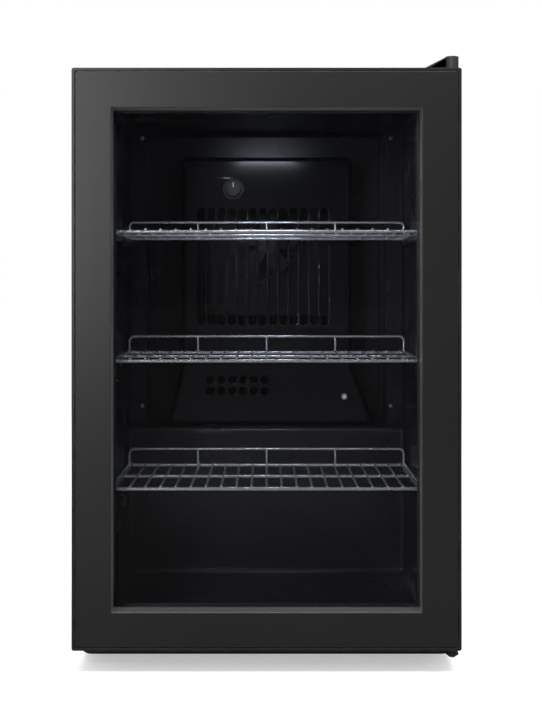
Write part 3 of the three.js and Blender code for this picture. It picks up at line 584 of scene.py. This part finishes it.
def outer_shell():
    low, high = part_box("outer_shell")
    wall = 1.5 * MM
    body = block(low, high)
    open_faces = [face for face in body.faces if face.normal.y > 0.9 or face.normal.z < -0.9]
    bmesh.ops.delete(body, geom=open_faces, context="FACES")
    rounded(body, SHEET_FOLD)
    shell = modified(body, "SOLIDIFY", thickness=wall, offset=-1, use_even_offset=True)
    liner = rect_of("inner_liner", -9.7 * MM)
    mouth = prism([(p.x, p.z) for p in rounded_rect(liner, LINER_ROUND, 0)], low.y - 5 * MM, low.y + 6 * MM)
    piece("outer_shell.visual", cut(shell, [mouth]), BLACK_PAINT, "outer_shell", edge=0.3 * MM)


def shelf_levels():
    return [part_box(name)[0].z + SHELF_RAIL for name in ("upper_shelf", "middle_shelf", "lower_shelf")]


def liner_ledges(half):
    """A ledge under each shelf and a spare one below it, on both walls."""
    front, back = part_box("upper_shelf")[0].y + 1.5 * MM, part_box("upper_shelf")[1].y + 9.5 * MM
    ledges = []
    for level in shelf_levels():
        rest = level - SHELF_RAIL - GAP
        for top, height, reach in ((rest, 10 * MM, 12 * MM), (level - 36 * MM, 20 * MM, 8 * MM)):
            for side in (-1, 1):
                inner, outer = sorted((side * (half - reach), side * (half + 5 * MM)))
                ledge = block((inner, front, top - height), (outer, back, top))
                ledges.append(rounded(ledge, 2.5 * MM, 3))
    return ledges


def drain_hole(level):
    """The bore that the drain tube passes, through a floor at that level."""
    low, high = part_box("drain_tube")
    place = ((low.x + high.x) / 2, DRAIN_DEPTH, level - 10 * MM)
    return lathe([(DRAIN_HOLE, 0), (DRAIN_HOLE, 20 * MM)], place)


def inner_liner():
    """One moulding: a stepped cavity with soft corners, shelf ledges and a raised rear panel."""
    low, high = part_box("inner_liner")
    flange = 10 * MM
    half, back = high.x - flange - LINER_WALL, high.y - LINER_WALL
    floor, ceiling = low.z + flange + LINER_WALL, high.z - flange - LINER_WALL
    step_y, step_z = LINER_STEP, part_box("evaporator_cover")[0].z - GAP
    side = ((low.y, floor), (step_y, floor), (step_y, step_z), (back, step_z), (back, ceiling),
            (low.y, ceiling))
    cavity = skin([[Vector((x, y, z)) for y, z in side] for x in (-half, half)])

    def inside(edge):
        return not all(abs(v.co.y - low.y) < 0.01 * MM for v in edge.verts)

    rounded(cavity, LINER_ROUND, 6, inside)
    panel_edge = rounded_rect((0.195, step_z - 0.021, 0.789), 9 * MM, 0)
    panel = prism([(p.x, p.z) for p in panel_edge], back - 3 * MM, back + 12 * MM)
    rounded(panel, 2.5 * MM, 4, lambda e: all(v.co.y < back for v in e.verts))
    cavity = cut(cavity, [*liner_ledges(half), panel])
    front = [face for face in cavity.faces
             if abs(face.normal.y) > 0.9 and abs(face.calc_center_median().y - low.y) < 0.01 * MM]
    bmesh.ops.delete(cavity, geom=front, context="FACES")
    bmesh.ops.reverse_faces(cavity, faces=cavity.faces)
    shell = modified(cavity, "SOLIDIFY", thickness=LINER_WALL, offset=-1, use_even_offset=False)
    mouth, rim = (half, floor, ceiling), rect_of("inner_liner")
    rim_round, rim_back = 12 * MM, low.y + 1.5 * MM
    lip = ring([(mouth, LINER_ROUND, low.y), (mouth, LINER_ROUND, rim_back), (rim, rim_round, rim_back),
                (rim, rim_round, low.y)])
    whole = joined([cut(shell, [drain_hole(step_z)]), rounded(lip, 0.4 * MM, 2)])
    piece("inner_liner.visual", whole, LINER, "inner_liner", angle=40)


def corner_pillars():
    """Each is an air duct: a raised channel with a flared head, beside a lower strip against the wall."""
    low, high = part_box("right_corner_pillar")
    channel, head = 16 * MM, 8 * MM
    inner = low.x + head
    for side, node in ((1, "right_corner_pillar"), (-1, "left_corner_pillar")):
        arc = [(low.x + head * math.sin(t), high.z - head + head * math.cos(t))
               for t in (math.radians(15 * k) for k in range(7))]
        face = [(inner, low.z), (inner + channel, low.z), (inner + channel, high.z), *arc]
        raised = prism([(side * x, z) for x, z in face], low.y, high.y)
        beside = inner + channel - MM
        edge = ((beside, low.z), (high.x, low.z), (high.x, high.z), (beside, high.z))
        strip = prism([(side * x, z) for x, z in edge], low.y + 3 * MM, high.y)
        rounded(raised, 2.2 * MM, 4, lambda e: e.verts[0].co.y < low.y + MM)
        rounded(strip, 1.5 * MM, 3)
        piece(f"{node}.visual", joined([raised, strip]), LINER, node)


def base_and_back():
    refined("back_panel", ZINC, 0.3 * MM)
    refined("base_rail", BLACK_PAINT, 1.2 * MM, 3)
    refined("base_pan", ZINC, 0.5 * MM)
    step = Vector((0, LINER_STEP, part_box("evaporator_cover")[0].z))

    def at_step(edge):
        return all((Vector((0, v.co.y, v.co.z)) - step).length < 5 * MM for v in edge.verts)

    foam = rounded(from_cad("insulation_foam"), LINER_ROUND - LINER_WALL - GAP, 4, at_step)
    piece("insulation_foam.visual", foam, FOAM, "insulation_foam", edge=0.8 * MM)
    refined("bay_lining", ZINC, 0.3 * MM)
    refined("bay_cover", BLACK_PLASTIC, 0.4 * MM)
    refined("cord_entry_bush", RUBBER, 0.5 * MM)


# ---------------------------------------------------------------- cooling

def slot_outline(x):
    reach = SLOT_WIDTH / 2
    arch = [(math.cos(t), math.sin(t)) for t in (math.pi * k / 8 for k in range(9))]
    top = [(x + reach * c, SLOT_TOP - reach + reach * s) for c, s in arch]
    bottom = [(x - reach * c, SLOT_BOTTOM + reach - reach * s) for c, s in arch]
    return top + bottom


def cover_track():
    """A recess across the cover's foot that turns back on itself and runs down: its outline in XZ."""
    reach, radius = 5.8 * MM, 14 * MM
    end, turn = Vector((-0.105, 0.393)), Vector((0.100, 0.379))
    path = [end, *(turn + radius * Vector((math.sin(t), math.cos(t)))
                   for t in (math.radians(15 * k) for k in range(13)))]
    way_down = ((0.062, 0.365), (0.054, 0.3633), (0.0485, 0.3585), (0.047, 0.352), (0.047, 0.344))
    path += [Vector(point) for point in way_down]
    ways = [(b - a).normalized() for a, b in zip(path, path[1:])]
    ways = [ways[0]] + [(a + b).normalized() for a, b in zip(ways, ways[1:])] + [ways[-1]]
    sides = [reach * Vector((-way.y, way.x)) for way in ways]
    cap = [end + reach * Vector((-math.sin(t), -math.cos(t)))
           for t in (math.radians(22.5 * k) for k in range(1, 8))]
    upper = [point + side for point, side in zip(path, sides)]
    lower = [point - side for point, side in zip(path, sides)]
    return [tuple(point) for point in upper + lower[::-1] + cap]


def evaporator_cover():
    """A slotted tray with soft edges and a flared foot."""
    low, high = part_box("evaporator_cover")
    half = COVER_HALF
    right = [(high.x, low.z), (168 * MM, COVER_FLARE_END), (half, COVER_FLARE_START), (half, high.z)]
    left = [(-half, high.z), (-half, COVER_FLARE_START), (-157 * MM, COVER_FLARE_END), (low.x, low.z)]
    body = prism(right + left, low.y, high.y)
    rounded(body, COVER_ROUND, 6, lambda e: min(v.co.y for v in e.verts) < low.y + MM, angle=20)
    tray = shelled(body, lambda f: f.normal.y > 0.99 and f.calc_center_median().y > high.y - MM, COVER_WALL)
    front, behind = low.y - 5 * MM, low.y + 6 * MM
    tools = [prism(slot_outline(SLOT_FIRST + i * SLOT_PITCH), front, behind) for i in range(SLOT_COUNT)]
    knob_low, knob_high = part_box("thermostat_knob")
    knob = (knob_low + knob_high) / 2
    bores = [(VENT_FIRST + i * VENT_PITCH, z, VENT_RADIUS) for z in VENT_ROWS for i in range(VENT_COUNT)]
    for x, z, radius in (*bores, (knob.x, knob.z, 3.3 * MM)):
        tools.append(lathe([(radius, 0), (radius, behind - front)], (x, front, z), (0, 1, 0), 24))
    tools.append(block((-half - MM, low.y - MM, COVER_SEAM - 0.6 * MM),
                       (half + MM, low.y + 0.8 * MM, COVER_SEAM + 0.6 * MM)))
    tools.append(drain_hole(low.z))
    body = cut(tray, tools)

    def mouth(edge):
        return all(abs(v.co.y - low.y) < 0.01 * MM and v.co.z < SLOT_TOP + MM for v in edge.verts)

    recesses = [prism(cover_track(), front, low.y + 1.2 * MM)]
    clear = 1.4 * MM
    for bottom, top in ((0.345, COVER_SEAM - clear), (COVER_SEAM + clear, high.z + MM)):
        recesses.append(block((-0.1200, front, bottom), (-0.1192, low.y + 0.5 * MM, top)))
    parts = [cut(rounded(body, 1.7 * MM, 4, mouth, angle=50), recesses)]
    for x in (1.5 * MM, 99 * MM):
        parts.append(lathe([(8 * MM, 0), (8 * MM, 1.4 * MM), (7.2 * MM, 2 * MM), (0, 2 * MM)],
                           (x, low.y + 0.5 * MM, 0.694), (0, -1, 0), 32))
    piece("evaporator_cover.visual", joined(parts), COVER, "evaporator_cover", edge=0.35 * MM, angle=32)


def fan():
    low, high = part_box("evaporator_fan")
    centre = (low + high) / 2
    refined("evaporator_fan", BLACK_PLASTIC, 0.4 * MM)
    motor_low, motor_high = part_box("fan_motor")
    radius = (motor_high.x - motor_low.x) / 2
    start = high.y + 3 * MM
    length = motor_high.y - start
    can = lathe([(0, 0), (radius * 0.55, 0), (radius * 0.6, 2 * MM), (radius - MM, 2.5 * MM),
                 (radius, 4 * MM), (radius, length - MM), (radius - MM, length)],
                (centre.x, start, centre.z), (0, 1, 0))
    shaft = tube([(centre.x, motor_low.y, centre.z), (centre.x, start + 2 * MM, centre.z)], 2.5 * MM, 16)
    piece("fan_motor.visual", joined([can, shaft]), BLACK_PLASTIC, "fan_motor", edge=0.3 * MM)
    # painted shade: the bracket is given black paint so that the space behind the slots reads dark
    refined("fan_bracket", BLACK_PAINT, 0.4 * MM)


def cooling():
    evaporator_cover()
    fan()
    # painted shade: the coil is near black so that the slots in front of it read dark
    refined("evaporator_coil", FINS_IN_PAINTED_SHADE, 0.2 * MM, 1)
    # painted shade: the trough is given black plastic so that the vents in front of it read dark
    refined("drain_trough", BLACK_PLASTIC, 0.5 * MM)
    refined("drain_tube", WHITE_PLASTIC, 0.3 * MM)
    low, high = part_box("temperature_probe")
    middle = (low + high) / 2
    length, radius = high.y - low.y, (high.x - low.x) / 2
    probe = lathe([(0, 0), (radius * 0.35, 0), (radius * 0.6, 1.2 * MM), (radius, 5 * MM),
                   (radius, length - MM), (radius * 0.8, length)],
                  (middle.x, low.y, middle.z), (0, 1, 0), 32)
    piece("temperature_probe.visual", probe, WHITE_PLASTIC, "temperature_probe")


# ---------------------------------------------------------------- compressor bay and condenser

def compressor():
    low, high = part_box("compressor")
    x, y = (low.x + high.x) / 2, (low.y + high.y) / 2
    bottom, radius = low.z + 3.7 * MM, 62 * MM
    tall = high.z - bottom
    seam = 0.52 * tall
    profile = [(0, 0), (radius - 20 * MM, MM), (radius - 9 * MM, 5 * MM), (radius - 2 * MM, 14 * MM),
               (radius - 1.5 * MM, seam - 3 * MM), (radius, seam - 2 * MM), (radius, seam + 2 * MM),
               (radius - 1.5 * MM, seam + 3 * MM), (radius - 2 * MM, tall - 42 * MM),
               (radius - 6 * MM, tall - 16 * MM), (radius - 17 * MM, tall - 5 * MM),
               (radius - 32 * MM, tall - MM), (0, tall)]
    pot = lathe(profile, (x, y, bottom), sides=72)
    plate = rounded(block((low.x, y - 22 * MM, low.z), (high.x, y + 22 * MM, low.z + 3 * MM)), 8 * MM, 5,
                    lambda e: abs(e.verts[0].co.z - e.verts[1].co.z) > MM)
    bores = []
    for i in range(1, 5):
        grommet_low, grommet_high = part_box(f"compressor_grommet_{i}")
        centre = (grommet_low + grommet_high) / 2
        bores.append(lathe([(4 * MM, 0), (4 * MM, 20 * MM)], (centre.x, centre.y, low.z - 8 * MM), sides=24))
        foot = lathe([(4.05 * MM, 0), (7.4 * MM, 0), (8 * MM, MM), (8 * MM, 4 * MM), (6.6 * MM, 5 * MM),
                      (8 * MM, 6 * MM), (8 * MM, 9.6 * MM), (7.2 * MM, 11 * MM), (4.05 * MM, 11 * MM)],
                     (centre.x, centre.y, grommet_low.z), sides=32)
        piece(f"compressor_grommet_{i}.visual", foot, RUBBER, f"compressor_grommet_{i}")
    piece("compressor.visual", joined([pot, cut(plate, bores)]), MACHINE_PAINT, "compressor", edge=0.4 * MM)


def condenser():
    """A round tube in one flat serpentine, with the wires and straps that carry it."""
    low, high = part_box("condenser_wires")
    y, radius = 0.257, 2.5 * MM
    passes, pitch, half, bottom = 12, 45 * MM, 205 * MM, 0.290
    path = []
    for k in range(passes):
        side = 1 if k % 2 == 0 else -1
        z = bottom + k * pitch
        path += [Vector((-side * half, y, z)), Vector((side * half, y, z))]
        if k + 1 < passes:
            centre = Vector((side * half, y, z + pitch / 2))
            for turn in range(1, 12):
                angle = math.radians(15 * turn - 90)
                path.append(centre + pitch / 2 * Vector((side * math.cos(angle), 0, math.sin(angle))))
    route = [(-0.123, 0.190, 0.120), (-0.152, 0.195, 0.122), (-0.182, 0.215, 0.170), (-0.222, 0.235, 0.225),
             (-0.224, 0.252, 0.247), (-0.224, y, 0.265), (-0.217, y, bottom - 3 * MM), (-half, y, bottom)]
    feed = filleted(route, 12 * MM)
    run = joined([tube(path, radius, 12), tube(feed, 2.2 * MM, 12)])
    piece("condenser_tube.visual", run, MACHINE_PAINT, "condenser_tube")
    wires = []
    count, reach, wire = 23, 197 * MM, 0.8 * MM
    wire_y = high.y - 4.4 * MM
    for i in range(count):
        x = -reach + i * 2 * reach / (count - 1)
        wires.append(tube([(x, wire_y, low.z + 2 * MM), (x, wire_y, high.z - 2 * MM)], wire, 8))
    for z in (low.z + 4 * MM, high.z - 4 * MM):
        wires.append(strap(z, high))
    piece("condenser_wires.visual", joined(wires), MACHINE_PAINT, "condenser_wires", edge=0.2 * MM)


def strap(z, high):
    """A flat bar across the wires, its ends bent back to the cabinet and out again as a stand-off."""
    half, tall = 0.248, 5 * MM
    foot = half - 8 * MM
    front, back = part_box("back_panel")[1].y + GAP, high.y
    bar_front, bar_back = back - 5.2 * MM, back - 2.8 * MM
    outline = [(-half, front), (-foot, front), (-foot, bar_front), (foot, bar_front), (foot, front),
               (half, front), (half, back), (foot, back), (foot, bar_back), (-foot, bar_back),
               (-foot, back), (-half, back)]
    return skin([[Vector((x, y, z + rise)) for x, y in outline] for rise in (-tall, tall)])


def machinery():
    compressor()
    condenser()
    low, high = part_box("suction_pipe")
    pipe = filleted([(0.040, 0.128, high.z), (0.040, 0.128, 0.200), (0.038, 0.140, 0.150),
                     (0.030, 0.160, 0.070), (0.008, 0.170, 0.058), (0.005, 0.180, 0.056)], 10 * MM)
    piece("suction_pipe.visual", tube(pipe, 3 * MM, 16), COPPER, "suction_pipe")
    low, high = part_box("filter_drier")
    x, y, radius = (low.x + high.x) / 2, (low.y + high.y) / 2, (high.x - low.x) / 2
    tall = high.z - low.z
    drier = lathe([(0, 0), (2.4 * MM, 0), (2.6 * MM, 5 * MM), (7 * MM, 10 * MM), (radius, 16 * MM),
                   (radius, tall - 20 * MM), (8 * MM, tall - 13 * MM), (3 * MM, tall - 6 * MM),
                   (2.4 * MM, tall)], (x, y, low.z))
    piece("filter_drier.visual", drier, COPPER, "filter_drier")
    refined("start_relay", BLACK_PLASTIC, 1.5 * MM, 3)
    refined("drain_pan", BLACK_PLASTIC, 0.6 * MM)


# ---------------------------------------------------------------- lamp, controls, shelves, hinges, feet

def lamp():
    refined("lamp_housing", LINER, 0.8 * MM, 3)
    refined("lamp_lens", LENS, 0.6 * MM, 3)
    low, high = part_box("led_board")
    board = [from_cad("led_board")]
    count, across, along, tall = 8, 1.75 * MM, 1.4 * MM, 0.8 * MM
    y = (low.y + high.y) / 2
    for i in range(count):
        x = low.x + (i + 0.5) * (high.x - low.x) / count
        board.append(block((x - across, y - along, low.z - tall), (x + across, y + along, low.z)))
    piece("led_board.visual", joined(board), BOARD, "led_board", edge=0.15 * MM)


def controls():
    low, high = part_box("thermostat_knob")
    centre = (low + high) / 2
    radius = (high.x - low.x) / 2
    length = high.y - low.y
    face = length - 8 * MM  # the spindle goes the rest of the way, through the cover
    knob = lathe([(0, 0), (radius - 7 * MM, 0), (radius - 5.6 * MM, 0.8 * MM), (radius - 5 * MM, 2.5 * MM),
                  (radius - 4.6 * MM, face - 4.5 * MM), (radius - MM, face - 4 * MM), (radius, face - 3 * MM),
                  (radius, face - 0.5 * MM), (radius - 0.5 * MM, face), (3 * MM, face), (3 * MM, length)],
                 (centre.x, low.y, centre.z), (0, 1, 0), 120, flutes=30, flute=0.35 * MM)
    pointer = rounded(block((centre.x - 1.2 * MM, low.y - 0.01 * MM, centre.z + 2 * MM),
                            (centre.x + 1.2 * MM, low.y + 4 * MM, centre.z + radius - 7 * MM)), 0.3 * MM, 2)
    piece("thermostat_knob.visual", knob, BLACK_PLASTIC, "thermostat_knob")
    mark = piece("thermostat_pointer", pointer, WHITE_PLASTIC, "thermostat_knob", stands_for=False)
    refined("thermostat_body", WHITE_PLASTIC, 1.0 * MM, 3)
    refined("light_switch_housing", BLACK_PLASTIC, 0.8 * MM, 3)
    refined("light_switch_rocker", BLACK_PLASTIC, 0.5 * MM, 3)


def wire_shelf(node):
    """A rectangle of rod with rounded corners, a middle rail, front-to-back wires and a raised rear stop."""
    low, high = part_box(node)
    half = high.x - SHELF_RAIL
    front, back = low.y + SHELF_RAIL, high.y - SHELF_RAIL
    level = low.z + SHELF_RAIL
    lift = SHELF_RAIL + SHELF_WIRE - MM
    corner, steps = 7 * MM, 6
    loop = []
    for x, y, start in ((half, front, -90), (half, back, 0), (-half, back, 90), (-half, front, 180)):
        centre = Vector((x - math.copysign(corner, x), y + (corner if y == front else -corner), level))
        for k in range(steps + 1):
            turn = math.radians(start + 90 * k / steps)
            loop.append(centre + corner * Vector((math.cos(turn), math.sin(turn), 0)))
    rods = [tube(loop, SHELF_RAIL, 16, closed=True)]
    middle = (front + back) / 2
    rods.append(tube([(-half, middle, level), (half, middle, level)], SHELF_RAIL - 0.2 * MM, 16))
    first = -SHELF_PITCH * (SHELF_WIRES - 1) / 2
    for i in range(SHELF_WIRES):
        x = first + i * SHELF_PITCH
        ends = [(x, front - SHELF_RAIL + 0.4 * MM, level + lift), (x, back, level + lift)]
        rods.append(tube(ends, SHELF_WIRE, 12))
    rail = 2 * MM
    stop_z, post_x = high.z - rail, half - 2 * MM
    posts = [(-post_x, back, level), (-post_x, back, stop_z), (post_x, back, stop_z), (post_x, back, level)]
    hoop = filleted(posts, 9 * MM, 8)
    rods.append(tube(hoop, rail - 0.1 * MM, 14))
    for i in range(1, 4):
        x = -post_x + i * post_x / 2
        rods.append(tube([(x, back, level), (x, back, stop_z)], SHELF_WIRE, 12))
    piece(f"{node}.visual", joined(rods), CHROME, node)


def hinges():
    refined("upper_hinge_cover", BLACK_PLASTIC, 1.2 * MM, 4, angle=30)
    refined("upper_hinge_bracket", ZINC, 0.4 * MM)
    refined("upper_hinge_pin", ZINC, 0.4 * MM)
    refined("lower_hinge_bracket", BLACK_PAINT, 0.5 * MM)
    low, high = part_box("lower_hinge_pin")
    centre = (low + high) / 2
    place = (centre.x, centre.y, low.z)
    shank = high.z - low.z
    nut_top, radius = 7.7 * MM, (high.x - low.x) / 2
    dome = lathe([(0, 0), (2 * MM, 0.2 * MM), (4.6 * MM, 1.2 * MM), (6.4 * MM, 2.9 * MM), (6.8 * MM, 4 * MM),
                  (6.8 * MM, 5 * MM)], place)
    nut = lathe([(radius - 1.4 * MM, 3 * MM), (radius, 4.2 * MM), (radius, nut_top - 0.8 * MM),
                 (radius - MM, nut_top)], place, sides=6)
    bolt = lathe([(4 * MM, 5 * MM), (4 * MM, shank - 0.6 * MM), (3.4 * MM, shank)], place)
    piece("lower_hinge_pin.visual", joined([dome, nut, bolt]), BLACK_PAINT, "lower_hinge_pin", edge=0.25 * MM)


def feet():
    for node in ("front_left_foot", "front_right_foot", "rear_left_foot", "rear_right_foot"):
        low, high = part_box(node)
        centre = (low + high) / 2
        radius, tall = (high.x - low.x) / 2, high.z - low.z
        pad = [(0, 0), (radius - 2.2 * MM, 0), (radius - 0.7 * MM, 0.7 * MM), (radius, 2.2 * MM)]
        if node.startswith("front"):
            threads = [(3.3 * MM + 0.7 * MM * (k % 2), 10 * MM + 0.62 * MM * k) for k in range(27)]
            profile = pad + [(radius, 5.4 * MM), (radius - MM, 6.4 * MM), (9 * MM, 9 * MM),
                             (4 * MM, 9.4 * MM), *threads, (3.2 * MM, tall)]
            foot = lathe(profile, (centre.x, centre.y, low.z), sides=96, flutes=24, flute=0.4 * MM)
        else:
            foot = lathe(pad + [(radius, tall - MM), (radius - MM, tall)], (centre.x, centre.y, low.z))
        piece(f"{node}.visual", foot, BLACK_PLASTIC, node)


def screw(place, out, radius=3.4 * MM):
    """A pan-head screw with a cross recess, facing out."""
    out = Vector(out)
    head = lathe([(radius, -0.4 * MM), (radius, 0.5 * MM), (radius * 0.86, 1.1 * MM),
                  (radius * 0.5, 1.6 * MM), (0, 1.8 * MM)], place, out, 24)
    across = out.orthogonal().normalized()
    slots = []
    for way in (across, out.cross(across)):
        other = out.cross(way)
        corners = [way * (a * radius * 0.55) + other * (b * 0.45 * MM) for a, b in
                   ((-1, -1), (1, -1), (1, 1), (-1, 1))]
        slots.append(skin([[Vector(place) + out * rise + c for c in corners] for rise in (0.7 * MM, 3 * MM)]))
    cross = modified(slots[0], "BOOLEAN", tool=slots[1], operation="UNION")
    return cut(head, [cross])


def screws():
    """Two on each pillar, then two columns each on the back panel and the bay cover."""
    heads = []
    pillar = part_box("right_corner_pillar")[0]
    for side in (-1, 1):
        for z in (0.776, 0.33):
            heads.append(screw((side * (pillar.x + 15 * MM), pillar.y, z), (0, -1, 0)))
    for node, inset, shares in (("back_panel", 6 * MM, (0.03, 0.35, 0.65, 0.97)),
                                ("bay_cover", 8 * MM, (0.06, 0.94))):
        low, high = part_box(node)
        for side in (-1, 1):
            for share in shares:
                place = (side * (high.x - inset), high.y, low.z + share * (high.z - low.z))
                heads.append(screw(place, (0, 1, 0)))
    group = piece("cabinet_screws", joined(heads), ZINC, "outer_shell", stands_for=False)


# ---------------------------------------------------------------- stage, light and camera

def area_light(name, place, target, size, power, colour=(1, 1, 1)):
    light = bpy.data.lights.new(name, "AREA")
    light.shape = "RECTANGLE"
    light.size, light.size_y = size
    light.energy = power
    light.color = colour
    thing = bpy.data.objects.new(name, light)
    thing.location = place
    thing.rotation_euler = (Vector(target) - Vector(place)).to_track_quat("-Z", "Y").to_euler()
    bpy.context.scene.collection.objects.link(thing)


def studio_floor():
    """A pale floor that glows a little, so that shadows stay soft, and is dim where gloss mirrors it."""
    bm = bmesh.new()
    bmesh.ops.create_grid(bm, x_segments=1, y_segments=1, size=40)
    mesh = bpy.data.meshes.new("floor")
    bm.to_mesh(mesh)
    bm.free()
    look = Finish("floor", Specular_IOR_Level=0.0)
    mirrored = look.node("ShaderNodeLightPath").outputs["Is Glossy Ray"]
    tone = look.spread(look.noise(3, detail=5), (0.3, 0.7), (0, 1))
    pale = look.blend(tone, (0.80, 0.80, 0.80), (0.84, 0.84, 0.84))
    look.coloured(look.blend(look.spread(mirrored, (0, 1), (0, 0.9)), pale, (0.0, 0.0, 0.0)))
    look.shader.inputs["Emission Color"].default_value = (1, 1, 1, 1)
    look.links.new(look.spread(mirrored, (0, 1), (0.4, 0.02)), look.shader.inputs["Emission Strength"])
    look.rough(look.noise(6), 0.8, 0.9)
    mesh.materials.append(look.material)
    plane = bpy.data.objects.new("floor", mesh)
    bpy.context.scene.collection.objects.link(plane)


def studio():
    """A white room for the eye and for soft light, and a dark one where gloss mirrors it."""
    world = bpy.data.worlds.new("studio")
    world.use_nodes = True
    nodes, links = world.node_tree.nodes, world.node_tree.links
    sky = nodes["Background"]
    path = nodes.new("ShaderNodeLightPath")
    strength = nodes.new("ShaderNodeMix")
    strength.inputs[2].default_value, strength.inputs[3].default_value = 0.8, 0.05
    links.new(path.outputs["Is Glossy Ray"], strength.inputs[0])
    seen = nodes.new("ShaderNodeMix")
    seen.inputs[3].default_value = 1.0
    links.new(path.outputs["Is Camera Ray"], seen.inputs[0])
    links.new(strength.outputs[0], seen.inputs[2])
    links.new(seen.outputs[0], sky.inputs["Strength"])
    sky.inputs["Color"].default_value = (1, 1, 1, 1)
    bpy.context.scene.world = world
    middle = (0, -0.2, 0.45)
    area_light("key", (-0.92, -2.4, 1.05), (-0.2, -0.26, 0.6), (0.5, 1.3), 16.5)
    area_light("top", (0, -1.3, 2.3), middle, (2.4, 0.5), 45)
    area_light("side", (2.0, -0.8, 0.5), (-0.2, -0.25, 0.45), (0.5, 1.2), 4)
    area_light("back", (0.6, 2.4, 2.0), middle, (2.0, 1.2), 30)
    low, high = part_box("lamp_lens")
    lens = (low + high) / 2
    area_light("cabinet_lamp", (lens.x, lens.y, low.z - 1 * MM), (lens.x, lens.y + 0.12, 0.3),
               (high.x - low.x - 8 * MM, high.y - low.y - 8 * MM), 0.42, (0.80, 0.86, 1.0))


def camera():
    lens = bpy.data.cameras.new("camera")
    lens.lens = 60.67
    lens.shift_x = 0.0061
    lens.shift_y = -0.0964
    thing = bpy.data.objects.new("camera", lens)
    thing.location = (0, -1.9149, 0.5217)
    thing.rotation_euler = (math.radians(90), 0, 0)
    bpy.context.scene.collection.objects.link(thing)
    bpy.context.scene.camera = thing
    bpy.context.scene.view_settings.view_transform = "Standard"


camera()
door()
outer_shell()
inner_liner()
corner_pillars()
base_and_back()
cooling()
machinery()
lamp()
controls()
for shelf in ("upper_shelf", "middle_shelf", "lower_shelf"):
    wire_shelf(shelf)
hinges()
feet()
screws()
studio_floor()
studio()
